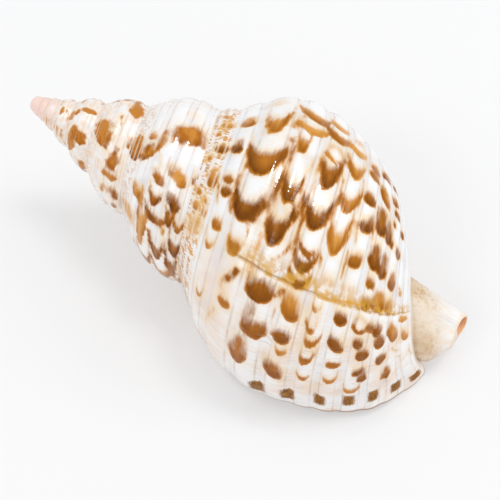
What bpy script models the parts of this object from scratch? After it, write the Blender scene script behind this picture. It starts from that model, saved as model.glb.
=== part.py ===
"""A triton's trumpet shell, lying mouth down: one hollow spiral solid, open at the mouth and canal."""

import math

import bmesh
import bpy
import numpy as np

MM = 0.001
DEG = math.pi / 180

# Growth: the shell turns about its axis and swells by one ratio in every turn.
WHORL_RATIO = 1.597
GROWTH = math.log(WHORL_RATIO) / (2 * math.pi)
ROWS_PER_TURN = 36
ROW_STEP = 2 * math.pi / ROWS_PER_TURN

# The growing profile at turn angle 0, one point per groove between the spiral ribs, in mm:
# distance from the apex along the axis, then distance out from the axis.
PROFILE = (
    (87.0, 37.0),
    (96.5, 45.5),
    (105.5, 53.0),
    (120.5, 59.3),
    (133.5, 59.8),
    (145.0, 57.8),
    (154.0, 54.8),
    (162.5, 50.8),
    (170.5, 45.5),
    (177.5, 39.0),
    (183.3, 32.5),
    (188.0, 25.8),
)
SUTURE_RIB = 4.46  # how far down the profile the next whorl covers the last one
LAST_RIB = len(PROFILE) - 1
BASE_EDGE = 12.0  # profile coordinate of the edge between base and canal
CANAL_END = 14.0

# The lip: turn angles of its edge at the suture, along the middle and at the canal, and the
# profile coordinates between which it sweeps back to the suture and round to the canal.
SUTURE_LIP_ROW = 21
LIP_ANGLE_SUTURE = SUTURE_LIP_ROW * ROW_STEP
LIP_ANGLE_MIDDLE = 174 * DEG
LIP_ANGLE_CANAL = 199 * DEG
LIP_BACK_END = 6.3
LIP_FRONT_START = 8.5
LAST_STRAIGHT_ROW = 10
FLARE_ARC = 17 * DEG
FLARE_OUT = 5.0
FLARE_RISE = (1.5, 7.0)
FLARE_FALL = (10.3, 11.6)

# Ribs, varices and the growth break, in mm on the whorl at turn angle 0.
RIB_HEIGHT = 1.4
RIB_CROWN = 0.3  # share of a rib's height that stands above the smooth whorl
RIBS_RISE = (0.9, 1.2)
RIBS_FALL = (10.6, 11.2)
VARIX_HEIGHT = 3.0
VARIX_SPACING = 255 * DEG
VARIX_WIDTH = 9 * DEG
LAST_VARIX_ANGLE = LIP_ANGLE_SUTURE - 17 * DEG
BREAK_ANGLE = 110 * DEG
BREAK_HEIGHT = 0.8
BREAK_BACK_SWEEP = 30 * DEG
BREAK_BACK_END = 2.9
THICKENING_RISE = (0.0, 1.0)
THICKENING_FALL = (9.0, 11.0)

# Where the last whorl leaves the even spiral, in mm.
SHOULDER_DIP = 3.2
SHOULDER_DIP_SIDE = 20 * DEG
BASE_PULL = 5.5
BASE_PULL_RISE = (8.0, 11.0)
BASE_PULL_TURN = (-30 * DEG, 110 * DEG)

# The hollow, in mm: its wall, the glaze over the last whorl, and at turn angle 0 the points
# of its inner side, which runs down the pillar and round to the base.
WALL = 2.4
GLAZE = 1.0
PILLAR_SIDE = ((122.0, 17.0), (146.0, 10.5), (172.0, 10.0), (180.5, 18.0))
HOLLOW_OUTER_RIBS = (0.6, 2.0, 3.6, 5.2, 6.8, 8.2, 9.4, 10.4)
HOLLOW_INNER_RIBS = (9.4, 7.2, 5.2)
HOLLOW_START = -700 * DEG
HOLLOW_END = 236 * DEG
HOLLOW_ROWS = 56

# The canal, in mm.
GROOVE_ANGLE = 212 * DEG
GROOVE_REACH = 30.0
GROOVE_SECTIONS = ((202.0, 6.5), (214.0, 5.6), (228.0, 4.6), (250.0, 4.2))
CANAL_TIP = (239.0, 5.9)
CANAL_DROP = 4.0
CANAL_DROP_ANGLE = 165 * DEG
BASE_EDGE_START = (197.0, 8.5)
BASE_EDGE_GROWTH = (32.0, 13.5)

# The spire ends in a blunt dome: rings of (along, out) and the top, in mm.
FIRST_ROW = -6 * ROWS_PER_TURN - 18
COARSE_BEFORE_ROW = -3 * ROWS_PER_TURN + 10
DOME_RADIUS = 4.3
DOME_RINGS = ((2.6, 4.1), (1.1, 3.1))
DOME_TOP = 0.2

# How it lies: the spire is raised, and the turn angle that faces straight down.
SPIRE_RAISED = 12.0 * DEG
DOWNWARD_ANGLE = 239.2 * DEG

SHELL_COLOUR = (0.78, 0.66, 0.54, 1.0)
SHELL_ROUGHNESS = 0.28


def ease(low, high, value):
    """0 below low, 1 above high and a smooth rise between them."""
    share = np.clip((value - low) / (high - low), 0, 1)
    return share * share * (3 - 2 * share)


def smooth_curve(points, position):
    """A point on the smooth curve through the points, at a fractional index."""
    points = np.asarray(points, float)
    slopes = np.gradient(points, axis=0)
    start = int(min(max(math.floor(position), 0), len(points) - 2))
    t = position - start
    return (
        (2 * t**3 - 3 * t**2 + 1) * points[start]
        + (t**3 - 2 * t**2 + t) * slopes[start]
        + (3 * t**2 - 2 * t**3) * points[start + 1]
        + (t**3 - t**2) * slopes[start + 1]
    )


def lip_angle(rib):
    """The turn angle of the mouth's edge: swept back at the suture and round the canal."""
    back = max(0.0, 1 - rib / LIP_BACK_END)
    front = ease(LIP_FRONT_START, BASE_EDGE, rib)
    return (
        LIP_ANGLE_MIDDLE
        + (LIP_ANGLE_SUTURE - LIP_ANGLE_MIDDLE) * back**2
        + (LIP_ANGLE_CANAL - LIP_ANGLE_MIDDLE) * front
    )


def facing(angle, side):
    """1 on the last whorl where it faces a side, 0 a quarter turn away and beyond."""
    return max(0.0, math.cos(angle - side)) ** 2 if abs(angle - side) < math.pi / 2 else 0.0


def relief(angle, rib):
    """Height of ribs, varices and the growth break above the smooth whorl, before growth."""
    groove = abs(2 * (rib - math.floor(rib)) - 1) ** 3
    ribbed = ease(*RIBS_RISE, rib) * (1 - ease(*RIBS_FALL, rib))
    height = RIB_HEIGHT * (RIB_CROWN - groove) * ribbed
    varices_back = (LAST_VARIX_ANGLE - angle) / VARIX_SPACING
    off_varix = (varices_back - max(1, round(varices_back))) * VARIX_SPACING
    thickened = ease(*THICKENING_RISE, rib) * (1 - ease(*THICKENING_FALL, rib))
    height += VARIX_HEIGHT * math.exp(-((off_varix / VARIX_WIDTH) ** 2)) * thickened
    break_at = BREAK_ANGLE + BREAK_BACK_SWEEP * max(0.0, 1 - rib / BREAK_BACK_END) ** 1.5
    return height + BREAK_HEIGHT * ease(break_at - 2 * DEG, break_at + 2 * DEG, angle) * thickened


def whorl_point(angle, rib, raised=True):
    """(along, out) in mm of the grown profile, without the canal."""
    size = math.exp(GROWTH * angle)
    along, out = smooth_curve(PROFILE, min(rib, LAST_RIB)) * size
    if raised:
        out += relief(angle, rib) * size
    flared = ease(lip_angle(rib) - FLARE_ARC, lip_angle(rib), angle)
    out += FLARE_OUT * flared * ease(*FLARE_RISE, rib) * (1 - ease(*FLARE_FALL, rib))
    shoulder = ease(0.2, 1.0, rib) * (1 - ease(1.6, 2.8, rib))
    out -= SHOULDER_DIP * shoulder * facing(angle, SHOULDER_DIP_SIDE)
    along -= BASE_PULL * ease(*BASE_PULL_RISE, rib) * ease(*BASE_PULL_TURN, angle)
    return along, math.hypot(out, DOME_RADIUS) if rib <= SUTURE_RIB else out


def shell_point(angle, rib):
    """A point of the outer surface in the shell's own frame: along the axis, up, near."""
    along, out = whorl_point(angle, rib)
    turned = min(max(angle / (2 * math.pi) + 0.5, 0.0), 1.1)
    edge_along = BASE_EDGE_START[0] + BASE_EDGE_GROWTH[0] * turned**2.5
    edge_out = BASE_EDGE_START[1] + BASE_EDGE_GROWTH[1] * turned**3
    share = min(max((rib - BASE_EDGE) / (CANAL_END - BASE_EDGE), 0.0), 1.0)
    rise = share ** (1 - 0.7 * min(turned, 1.0) ** 3)
    canal_along = edge_along + (CANAL_TIP[0] - edge_along) * rise
    narrowing = (1 - share) ** (1.5 - 0.6 * min(turned, 1.0) ** 3)
    canal_out = CANAL_TIP[1] + (edge_out - CANAL_TIP[1]) * narrowing
    blend = ease(10.6, BASE_EDGE, rib)
    along += (canal_along - along) * blend
    out += (canal_out - out) * blend
    drop = CANAL_DROP * blend
    return np.array(
        (
            along,
            out * math.cos(angle) + drop * math.cos(CANAL_DROP_ANGLE),
            out * math.sin(angle) + drop * math.sin(CANAL_DROP_ANGLE),
        )
    )


def at_rest(point):
    """Turns a point of the shell's own frame to how the shell lies, +Z up, in metres."""
    along, up, near = point
    down_side = up * math.cos(DOWNWARD_ANGLE) + near * math.sin(DOWNWARD_ANGLE)
    far_side = near * math.cos(DOWNWARD_ANGLE) - up * math.sin(DOWNWARD_ANGLE)
    return (
        MM * (along * math.cos(SPIRE_RAISED) - down_side * math.sin(SPIRE_RAISED)),
        MM * far_side,
        -MM * (along * math.sin(SPIRE_RAISED) + down_side * math.cos(SPIRE_RAISED)),
    )


def rib_columns():
    """Profile coordinates of the mesh's columns: three to a rib, then the canal's rings."""
    columns = [0.0, 0.4, 0.8]
    columns += [rib + part for rib in range(1, LAST_RIB) for part in (0.0, 0.3, 0.7)]
    columns += [11.0, 11.5, BASE_EDGE, 12.5, 13.2, CANAL_END]
    columns = [column for column in columns if abs(column - SUTURE_RIB) > 0.25]
    return sorted(columns + [SUTURE_RIB])


def row_angle(row, rib):
    """Rows stand at even angles, then fan out to reach the lip's edge."""
    if row <= LAST_STRAIGHT_ROW:
        return row * ROW_STEP
    start = LAST_STRAIGHT_ROW * ROW_STEP
    share = (row - LAST_STRAIGHT_ROW) / (SUTURE_LIP_ROW - LAST_STRAIGHT_ROW)
    return start + (lip_angle(rib) - start) * share


def outer_form():
    """The whole shell filled solid, with a plain face across its mouth."""
    columns = rib_columns()
    suture = columns.index(SUTURE_RIB)
    first_body_row = SUTURE_LIP_ROW - ROWS_PER_TURN
    mesh = bmesh.new()
    made = {}

    def vertex(row, column):
        if column == suture and row <= first_body_row:
            return vertex(row + ROWS_PER_TURN, 0)
        if row < COARSE_BEFORE_ROW and 0 < column < suture:
            column -= column % 2
        if (row, column) not in made:
            point = shell_point(row_angle(row, columns[column]), columns[column])
            made[row, column] = mesh.verts.new(at_rest(point))
        return made[row, column]

    def add_face(corners):
        corners = list(dict.fromkeys(corners))
        if len(corners) > 2:
            mesh.faces.new(corners)

    for row in range(FIRST_ROW, SUTURE_LIP_ROW):
        last = suture if row < first_body_row else len(columns) - 1
        for column in range(last):
            add_face(
                (
                    vertex(row, column),
                    vertex(row, column + 1),
                    vertex(row + 1, column + 1),
                    vertex(row + 1, column),
                )
            )

    def dome_ring(along, out):
        ring = []
        for row in range(ROWS_PER_TURN):
            angle = (FIRST_ROW - row) * ROW_STEP
            point = (along, out * math.cos(angle), out * math.sin(angle))
            ring.append(mesh.verts.new(at_rest(point)))
        return ring

    # The first whorl's edge, one vertex per row round from its upper end, then the dome.
    rim = [vertex(FIRST_ROW + ROWS_PER_TURN - row, 0) for row in range(ROWS_PER_TURN)]
    rings = [rim] + [dome_ring(along, out) for along, out in DOME_RINGS]
    for ring, following in zip(rings, rings[1:]):
        for row in range(ROWS_PER_TURN - 1):
            add_face((ring[row], ring[row + 1], following[row + 1], following[row]))
    for ring, following in zip(rings[1:], rings[2:]):
        add_face((ring[-1], ring[0], following[0], following[-1]))
    step = [vertex(FIRST_ROW, column) for column in range(suture + 1)]
    add_face((rim[-1], step[0], rings[1][0], rings[1][-1]))
    for start, end in zip(step, step[1:]):
        add_face((start, end, rings[1][0]))
    top = mesh.verts.new(at_rest((DOME_TOP, 0.0, 0.0)))
    last_ring = rings[-1]
    for row in range(ROWS_PER_TURN):
        add_face((last_ring[row - 1], last_ring[row], top))

    for column in range(len(columns) - 1):
        inner = max(column, suture)
        inner_next = max(column + 1, suture)
        add_face(
            (
                vertex(SUTURE_LIP_ROW, column),
                vertex(SUTURE_LIP_ROW, column + 1),
                vertex(first_body_row, inner_next),
                vertex(first_body_row, inner),
            )
        )
    canal_rows = range(first_body_row, SUTURE_LIP_ROW + 1)
    mesh.faces.new([vertex(row, len(columns) - 1) for row in canal_rows])
    bmesh.ops.recalc_face_normals(mesh, faces=mesh.faces)
    return mesh


def inset(points, distance):
    """Each point moved to the right of the path along the points."""
    points = np.asarray(points)
    along = np.gradient(points, axis=0)
    right = np.stack((along[:, 1], -along[:, 0]), axis=1)
    return points + distance * right / np.linalg.norm(right, axis=1, keepdims=True)


def hollow_section(angle):
    """The hollow's outline in the plane through the axis at a turn angle, in mm."""
    size = math.exp(GROWTH * angle)
    wall = WALL * min(size, 1.0) ** 0.7
    outer = inset([whorl_point(angle, rib, False) for rib in HOLLOW_OUTER_RIBS], wall)
    pillar = size * np.array(PILLAR_SIDE[::-1])
    pillar[:2, 0] -= BASE_PULL * ease(*BASE_PULL_TURN, angle)
    last_whorl = angle - 2 * math.pi
    inner = inset([whorl_point(last_whorl, rib, False) for rib in HOLLOW_INNER_RIBS], GLAZE * size)
    return np.concatenate((outer, pillar, inner))


def loft(sections):
    """A closed solid through rings of points that all have the same count."""
    mesh = bmesh.new()
    rings = [[mesh.verts.new(point) for point in section] for section in sections]
    for ring, following in zip(rings, rings[1:]):
        for index, corner in enumerate(ring):
            mesh.faces.new((ring[index - 1], corner, following[index], following[index - 1]))
    mesh.faces.new(rings[0])
    mesh.faces.new(rings[-1])
    bmesh.ops.recalc_face_normals(mesh, faces=mesh.faces)
    return mesh


def hollow_form():
    """The spiral room inside the whorls, running out past the mouth."""
    sections = []
    for angle in np.linspace(HOLLOW_START, HOLLOW_END, HOLLOW_ROWS):
        spoke = (math.cos(angle), math.sin(angle))
        outline = hollow_section(angle)
        sections.append([at_rest((along, out * spoke[0], out * spoke[1])) for along, out in outline])
    return loft(sections)


def groove_form():
    """The canal's open groove, from the mouth to past the tip."""
    middle_up = CANAL_DROP * math.cos(CANAL_DROP_ANGLE)
    middle_near = CANAL_DROP * math.sin(CANAL_DROP_ANGLE)
    out = (math.cos(GROOVE_ANGLE), math.sin(GROOVE_ANGLE))
    sections = []
    for along, radius in GROOVE_SECTIONS:
        section = []
        for turn in np.linspace(-90, 90, 7) * DEG:
            back = -radius * math.cos(turn)
            side = radius * math.sin(turn)
            section.append((back, side))
        section += [(GROOVE_REACH, radius), (GROOVE_REACH, -radius)]
        sections.append(
            [
                at_rest(
                    (
                        along,
                        middle_up + depth * out[0] - side * out[1],
                        middle_near + depth * out[1] + side * out[0],
                    )
                )
                for depth, side in section
            ]
        )
    return loft(sections)


def shift_to_floor(mesh):
    """The shift that brings the middle of the form's box's underside to the origin."""
    places = np.array([vertex.co for vertex in mesh.verts])
    low, high = places.min(axis=0), places.max(axis=0)
    return -np.array(((low[0] + high[0]) / 2, (low[1] + high[1]) / 2, low[2]))


def porcelain():
    material = bpy.data.materials.new("porcelain_shell")
    material.use_nodes = True
    shader = material.node_tree.nodes["Principled BSDF"]
    shader.inputs["Base Color"].default_value = SHELL_COLOUR
    shader.inputs["Roughness"].default_value = SHELL_ROUGHNESS
    shader.inputs["Metallic"].default_value = 0.0
    return material


def mesh_object(name, mesh, shift, collection):
    bmesh.ops.translate(mesh, verts=mesh.verts, vec=shift)
    data = bpy.data.meshes.new(name)
    mesh.to_mesh(data)
    mesh.free()
    made = bpy.data.objects.new(name, data)
    collection.objects.link(made)
    return made


def clear_scene():
    for old in list(bpy.data.objects):
        bpy.data.objects.remove(old, do_unlink=True)


def main():
    clear_scene()
    collection = bpy.data.collections.new("tritons trumpet shell")
    cutters = bpy.data.collections.new("cutters")
    bpy.context.scene.collection.children.link(collection)
    bpy.context.scene.collection.children.link(cutters)
    outer = outer_form()
    shift = shift_to_floor(outer)
    shell = mesh_object("shell", outer, shift, collection)
    shell.data.materials.append(porcelain())
    shell.data.shade_smooth()
    for name, form in (("hollow", hollow_form()), ("canal_groove", groove_form())):
        cutter = mesh_object(name, form, shift, cutters)
        cutter.hide_render = True
        cutter.display_type = "WIRE"
        cut = shell.modifiers.new(name, "BOOLEAN")
        cut.operation = "DIFFERENCE"
        cut.solver = "EXACT"
        cut.object = cutter


main()
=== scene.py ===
"""A triton's trumpet shell lying mouth down on a pale floor, in soft studio light."""

import math

import bmesh
import bpy
import numpy as np
from mathutils import Matrix, Vector


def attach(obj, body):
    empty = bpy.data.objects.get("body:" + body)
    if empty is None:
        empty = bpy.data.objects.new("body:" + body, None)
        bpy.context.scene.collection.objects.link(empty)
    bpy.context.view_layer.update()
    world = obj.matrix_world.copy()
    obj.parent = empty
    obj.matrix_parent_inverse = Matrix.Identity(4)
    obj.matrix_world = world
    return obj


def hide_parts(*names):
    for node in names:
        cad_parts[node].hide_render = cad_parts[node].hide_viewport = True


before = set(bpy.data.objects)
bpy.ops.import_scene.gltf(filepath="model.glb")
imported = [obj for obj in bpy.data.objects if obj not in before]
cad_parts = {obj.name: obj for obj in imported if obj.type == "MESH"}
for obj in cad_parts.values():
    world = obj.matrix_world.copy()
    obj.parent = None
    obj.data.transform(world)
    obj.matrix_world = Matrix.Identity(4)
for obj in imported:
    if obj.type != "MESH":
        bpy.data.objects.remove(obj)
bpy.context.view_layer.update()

MM = 0.001
DEG = math.pi / 180
TURN = 2 * math.pi

# Growth: the shell turns about its axis and swells by one ratio in every turn.
WHORL_RATIO = 1.597
GROWTH = math.log(WHORL_RATIO) / TURN

# The growing profile at turn angle 0, one point per groove between the spiral ribs, in mm:
# distance from the apex along the axis, then distance out from the axis.
PROFILE = (
    (87.0, 37.0),
    (96.5, 45.5),
    (105.5, 53.0),
    (120.5, 59.3),
    (133.5, 59.8),
    (145.0, 57.8),
    (154.0, 54.8),
    (162.5, 50.8),
    (170.5, 45.5),
    (177.5, 39.0),
    (183.3, 32.5),
    (188.0, 25.8),
)
SUTURE_RIB = 4.46  # how far down the profile the next whorl covers the last one
LAST_RIB = len(PROFILE) - 1
BASE_EDGE = 12.0
CANAL_END = 14.0

# Rows of the mesh, counted in steps of 1.25 degrees; the early whorls keep only every second,
# fourth or eighth row.
ROW_STEP = 1.25 * DEG
ROWS_PER_TURN = 288
FIRST_ROW = -1872
FIRST_BODY_ROW = -120
SUTURE_LIP_ROW = 168
LAST_STRAIGHT_ROW = 80
ROW_TIERS = (
    (FIRST_ROW, -984, 8),
    (-984, -408, 4),
    (-408, FIRST_BODY_ROW, 2),
    (FIRST_BODY_ROW, SUTURE_LIP_ROW, 1),
)
COLUMN_PARTS = (0.0, 0.11, 0.17, 0.23, 0.34, 0.5, 0.66, 0.77, 0.83, 0.89)
CANAL_COLUMNS = 25

# The lip: turn angles of its edge at the suture, along the middle and at the canal.
LIP_ANGLE_SUTURE = SUTURE_LIP_ROW * ROW_STEP
LIP_ANGLE_MIDDLE = 174 * DEG
LIP_ANGLE_CANAL = 199 * DEG
LIP_BACK_END = 6.3
LIP_FRONT_START = 8.5
FLARE_ARC = 19 * DEG
FLARE_TURN = 2.2
FLARE_OUT = 5.0
FLARE_RISE = (1.5, 7.0)
FLARE_FALL = (10.3, 11.6)
FLARE_LESS = (2.2, 5.2, 1.8)  # mm at the middle of the lip, where along it, and over how much
FLARE_MORE = (1.6, 9.0, 1.0)
SCALLOP = 0.4 * DEG
SCALLOP_RISE = (0.5, 1.5)
SCALLOP_FALL = (10.5, 11.5)
LIP_SMOOTHING = 0.7  # the share of the ribs' height that is lost at the lip's edge
LIP_SMOOTH_ARC = (-15 * DEG, -2 * DEG)

# Ribs, varices and the growth break, in mm on the whorl at turn angle 0.
RIB_HEIGHT = 1.9
RIB_CROWN = 0.3
RIBS_RISE = (0.9, 1.2)
RIBS_FALL = (10.6, 11.2)
RIBLET_HEIGHT = 0.7
RIBLET_WIDTH = 0.1
LINE_AT = 0.17
LINE_DEPTH = 0.2
LINE_WIDTH = 0.045
CORDS = 3  # fine cords on the band below the suture
CORD_HEIGHT = 0.22
CORDS_RISE = (0.02, 0.1)
CORDS_FALL = (0.85, 1.0)
VARIX_HEIGHT = 3.0
VARIX_SPACING = 255 * DEG
VARIX_WIDTH = 9 * DEG
LAST_VARIX_ANGLE = LIP_ANGLE_SUTURE - 17 * DEG
BREAK_ANGLE = 110 * DEG
BREAK_HEIGHT = 0.8
BREAK_HALF_ARC = 2 * DEG
BREAK_BACK_SWEEP = 30 * DEG
BREAK_BACK_END = 2.9
BREAK_BACK_BOW = 1.5
THICKENING_RISE = (0.0, 1.0)
THICKENING_FALL = (9.0, 11.0)

# Where the last whorl leaves the even spiral, in mm.
SHOULDER_DIP = 3.2
SHOULDER_DIP_SIDE = 20 * DEG
SHOULDER_RISE = (0.2, 1.0)
SHOULDER_FALL = (1.6, 2.8)
BASE_PULL = 5.5
BASE_PULL_RISE = (8.0, 11.0)
BASE_PULL_TURN = (-30 * DEG, 110 * DEG)

# The hollow, in mm: its wall, the glaze over the last whorl, and at turn angle 0 the points
# of its inner side, which runs down the pillar and round to the base.
WALL = 2.4
WALL_THINNING = 0.7  # how quickly the wall thins towards the tip
GLAZE = 1.0
PILLAR_SIDE = ((122.0, 17.0), (146.0, 10.5), (172.0, 10.0), (180.5, 18.0))
HOLLOW_OUTER_RIBS = (0.6, 10.4)
HOLLOW_OUTER_POINTS = 79
HOLLOW_INNER_RIBS = (9.4, 7.2, 5.2)
PILLAR_POINTS = 113
PILLAR_FOLDS = 28
FOLD_HEIGHT = 0.5
FOLD_SHARPNESS = 1.5
FOLDS_START = 95 * DEG
FOLDS_GROWN = 40 * DEG  # this much further on they stand at their full height
FOLDS_RISE = (0.0, 0.06)
FOLDS_FALL = (0.88, 0.97)
TOOTH_HEIGHT = 0.9
TOOTH_WIDTH = 0.085
TOOTH_SIDES = (-0.17, 0.17)
TOOTH_ARC = (-15 * DEG, -8 * DEG)
HOLLOW_DEEP = (-700 * DEG, 50 * DEG, 72)
HOLLOW_NEAR = (50 * DEG, 236 * DEG, 63)
PILLAR_U = 20.0  # profile coordinates of the hollow's inner side start here, so none is shared

# The canal, in mm. Its groove closes towards the tip: distance along the axis, radius, and half
# the width of the slot that it opens by.
GROOVE_ANGLE = 200 * DEG
GROOVE_REACH = 30.0
GROOVE_SECTIONS = (
    (202.0, 6.5, 6.4),
    (214.0, 5.6, 4.6),
    (226.0, 4.9, 2.0),
    (236.0, 4.7, 0.5),
    (250.0, 4.7, 0.4),
)
GROOVE_POINTS = 25
CANAL_TIP = (239.5, 5.9)
CANAL_SLANT = 2.7
CANAL_SLANT_ANGLE = 90 * DEG
CANAL_WING = 7.0  # how far the canal's edge spreads on the lip's side
CANAL_WING_RISE = (112 * DEG, 182 * DEG)
CANAL_DROP = 4.0
CANAL_DROP_ANGLE = 165 * DEG
CRISP_EDGE = 52 * DEG  # edges that turn by more than this stay crisp, as round the canal's end
BASE_EDGE_START = (197.0, 8.5)
BASE_EDGE_GROWTH = (30.0, 15.0)
BASE_EDGE_POWERS = (2.5, 3)
BASE_EDGE_TURNS = (0.0, 1.1)
CANAL_BOWS = (0.5, 0.35)
CANAL_BLEND_START = 10.6
RIM_ANGLE = 38 * DEG  # edges between two finishes that turn by more than this are rounded
RIM_ROUNDS = 3

# The spire ends in a blunt dome: rings of (along, out) and the top, in mm.
DOME_RADIUS = 4.3
DOME_RINGS = ((3.4, 4.25), (2.6, 4.1), (1.8, 3.7), (1.1, 3.1), (0.6, 2.2), (0.3, 1.1))
DOME_TOP = 0.2
DOME_STEP = 8  # rows from point to point round a ring
DOME_POINTS = ROWS_PER_TURN // DOME_STEP

# How it lies: the spire is raised, the turn angle that faces straight down, and where the
# zero point of the axis comes to rest, in mm.
SPIRE_RAISED = 12.0 * DEG
DOWNWARD_ANGLE = 239.2 * DEG
AXIS_START = (-117.487, 8.154, 74.889)

# The photograph's view: the axis and the zero turn direction as they stand in the picture,
# as (right, down, away), where the axis starts in it, its scale there and the lens.
AXIS_IN_VIEW = (0.8916, 0.4484, -0.0628)
UP_IN_VIEW = (0.4493, -0.8934, 0.0)
PICTURE_CENTRE = 250.0
AXIS_START_PIXEL = (31.5, 101.5)
MM_PER_PIXEL = 0.5
VIEW_DISTANCE = 500.0
SENSOR = 36.0
LENS = 72.0
FARTHEST_SEEN = 20.0
WORLD_STRENGTH = 0.8
REFLECTED_STRENGTH = 0.2
FLOOR_SIZE = 6.0
FLOOR_ROUGHNESS = 0.9
FLOOR_GLOW = 0.325  # the floor is a light table's pale sheet

# Lamps: name, place and size in metres, and power. The small bare one is seen only as the
# bright glints along the ribs.
SOFTBOXES = (
    ("softbox_overhead", (0.7, 0.6, 3.2), (0.8, 0.8), 20.0),
    ("softbox_right", (2.3, 0.9, 2.2), (1.3, 1.3), 14.0),
    ("softbox_front", (-0.9, -2.3, 2.5), (1.5, 1.0), 17.0),
)
SOFTBOX_TARGET = (0.0, 0.0, 0.03)
BARE_LAMP = ("bare_lamp", (-0.55, 0.6, 3.4), (0.18, 0.18), 130.0)
BARE_LAMP_TARGET = (0.0, 0.0, 0.05)

# Size of a degree of growth and of a rib on the whorl at turn angle 0, for marks and noise.
MM_PER_DEGREE = 1.0
MM_PER_RIB = 11.3

# Crescents on the last whorl: turn angles in degrees from start to end, profile coordinates
# from upper to lower edge, how far the lower end lags or leads in degrees, and tone from 0,
# pale orange, to 1, near black.
CRESCENTS = (
    (41, 51, 1.2, 1.78, 0, 0.5), (60, 69.5, 1.15, 1.65, 0, 0.85), (80.3, 85.8, 1.25, 1.72, 0, 0.6),
    (85.8, 91.5, 1.3, 1.83, 0, 0.8), (100, 106, 1.38, 1.88, 0, 0.45),
    (44, 56, 2.2, 2.72, -5, 0.5), (65, 77.5, 2.0, 2.9, -3, 0.75), (87, 97, 1.98, 2.7, 2, 0.85),
    (103, 110, 2.25, 2.62, -3, 0.55), (125.5, 130, 2.42, 2.7, 0, 0.5),
    (34.5, 42.5, 3.05, 3.98, 3, 0.45), (53, 62, 3.15, 3.52, -3, 0.5), (74, 83.5, 3.15, 3.7, -5, 0.85),
    (77, 85.5, 3.8, 4.05, 0, 0.75), (88, 99.5, 3.05, 3.68, -5, 0.9), (110.5, 120, 3.06, 3.84, -2, 0.85),
    (121, 133.5, 3.12, 3.46, -3, 0.8), (126, 134, 3.3, 3.92, -2, 0.75), (109.5, 118, 2.98, 3.14, 0, 0.35),
    (136, 151.5, 2.95, 3.48, -2, 0.65),
    (40.5, 47.5, 4.05, 4.92, 0, 0.5), (59, 71, 4.15, 4.85, -7, 0.8), (79, 88, 4.05, 4.82, -3, 0.85),
    (97.5, 104, 4.08, 4.78, 0, 0.8), (105, 109.6, 4.12, 4.75, 0, 0.75), (111, 121, 4.15, 4.75, 3, 0.5),
    (125, 131.5, 4.15, 4.7, 0, 0.85), (141, 150.5, 4.08, 4.68, 3, 0.8),
    (52, 59.5, 5.1, 5.85, 0, 0.42), (67.5, 75.5, 5.08, 5.95, -5, 0.45), (82, 92.8, 5.02, 5.78, -4, 0.45),
    (46, 51.5, 6.25, 6.85, 0, 0.5), (59, 66, 6.12, 6.82, 0, 0.75), (73, 79, 6.2, 6.62, 0, 0.8),
    (69, 77.5, 6.55, 6.98, -3, 0.8), (87.5, 94, 6.12, 6.72, -2, 0.65), (111, 117.2, 6.15, 6.72, 0, 0.85),
    (122, 128.8, 6.15, 6.8, 3, 0.85), (134, 137.8, 6.3, 6.88, 0, 0.5),
    (49, 58.5, 7.05, 7.68, 6, 0.6), (61, 75, 7.03, 7.66, 0, 0.85), (63.5, 76, 7.64, 8.1, 0, 0.85),
    (79, 91, 7.02, 7.66, 0, 0.85), (80, 93, 7.62, 8.1, 0, 0.85), (93.5, 99.4, 7.15, 7.6, 0, 0.6),
    (102, 108.5, 7.15, 7.6, 0, 0.7), (98, 108.5, 7.6, 8.35, 0, 0.6), (112.5, 118, 7.7, 7.98, 0, 0.6),
    (44, 51, 7.9, 8.5, 0, 0.6), (52, 58, 8.15, 8.75, 0, 0.7), (40, 47, 6.3, 6.9, 0, 0.55),
    (34, 42, 7.1, 7.8, 0, 0.7), (58, 64, 8.9, 9.5, 0, 0.65), (30, 38, 8.1, 8.8, 0, 0.75),
    (120.5, 127, 7.22, 7.68, 2, 0.85), (126, 133, 7.48, 8.0, 0, 0.85), (137, 143, 7.5, 7.95, 0, 0.85),
    (140, 148, 7.7, 8.08, 0, 0.85), (60.5, 65, 8.08, 8.32, 0, 0.75), (71, 76.5, 8.02, 8.28, 0, 0.75),
    (72, 79, 8.55, 9.06, 0, 0.8), (86.5, 96.5, 8.32, 8.88, 0, 0.65), (100, 108.5, 8.4, 8.95, 0, 0.5),
    (112.5, 121, 8.02, 8.5, 0, 0.85), (118, 126.5, 8.2, 8.74, 0, 0.85), (130, 137, 8.42, 9.02, 0, 0.85),
    (113.5, 124.5, 8.9, 9.82, 5, 0.5), (141.5, 152.5, 8.86, 9.45, -2, 0.6), (94, 98, 9.5, 9.9, 0, 0.2),
    (121, 129.5, 10.25, 10.78, 4, 0.28), (110, 115, 9.9, 10.7, 0, 0.15),
)
THIN_CRESCENTS = (
    (92.5, 98, 4.1, 4.8, 0, 0.65), (124, 129.5, 5.2, 5.8, -2, 0.45), (131.5, 138, 5.18, 5.75, -3, 0.45),
    (143.5, 147.5, 5.2, 5.7, 0, 0.3), (111, 115, 1.3, 1.75, 0, 0.2), (134, 138, 1.5, 1.8, 0, 0.3),
    (133, 137, 4.3, 4.7, 0, 0.25), (119, 124, 5.1, 5.5, 0, 0.4), (111, 115, 5.15, 5.5, 0, 0.35),
    (143.5, 147.5, 6.3, 6.8, 0, 0.2), (150, 156, 7.2, 7.8, 0, 0.12), (43, 51, 3.0, 3.98, 0, 0.12),
    (30, 38, 4.08, 4.92, 0, 0.12), (38, 46, 5.05, 5.95, 0, 0.15),
)
RINGS = ((50, 59, 4.1, 4.85, 0, 0.3), (111.5, 119.5, 7.05, 7.65, 0, 0.6))
SOFT_MARKS = (
    (20, 35, 2.15, 2.45, 0, 0.25), (100, 105.5, 5.08, 5.9, 0, 0.12), (100, 105.5, 6.1, 6.75, 0, 0.15),
    (106, 120, 0.2, 0.9, -6, 0.2), (32, 40, 5.1, 5.9, 0, 0.05), (124, 129, 9.9, 10.2, 0, 0.15),
)
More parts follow.
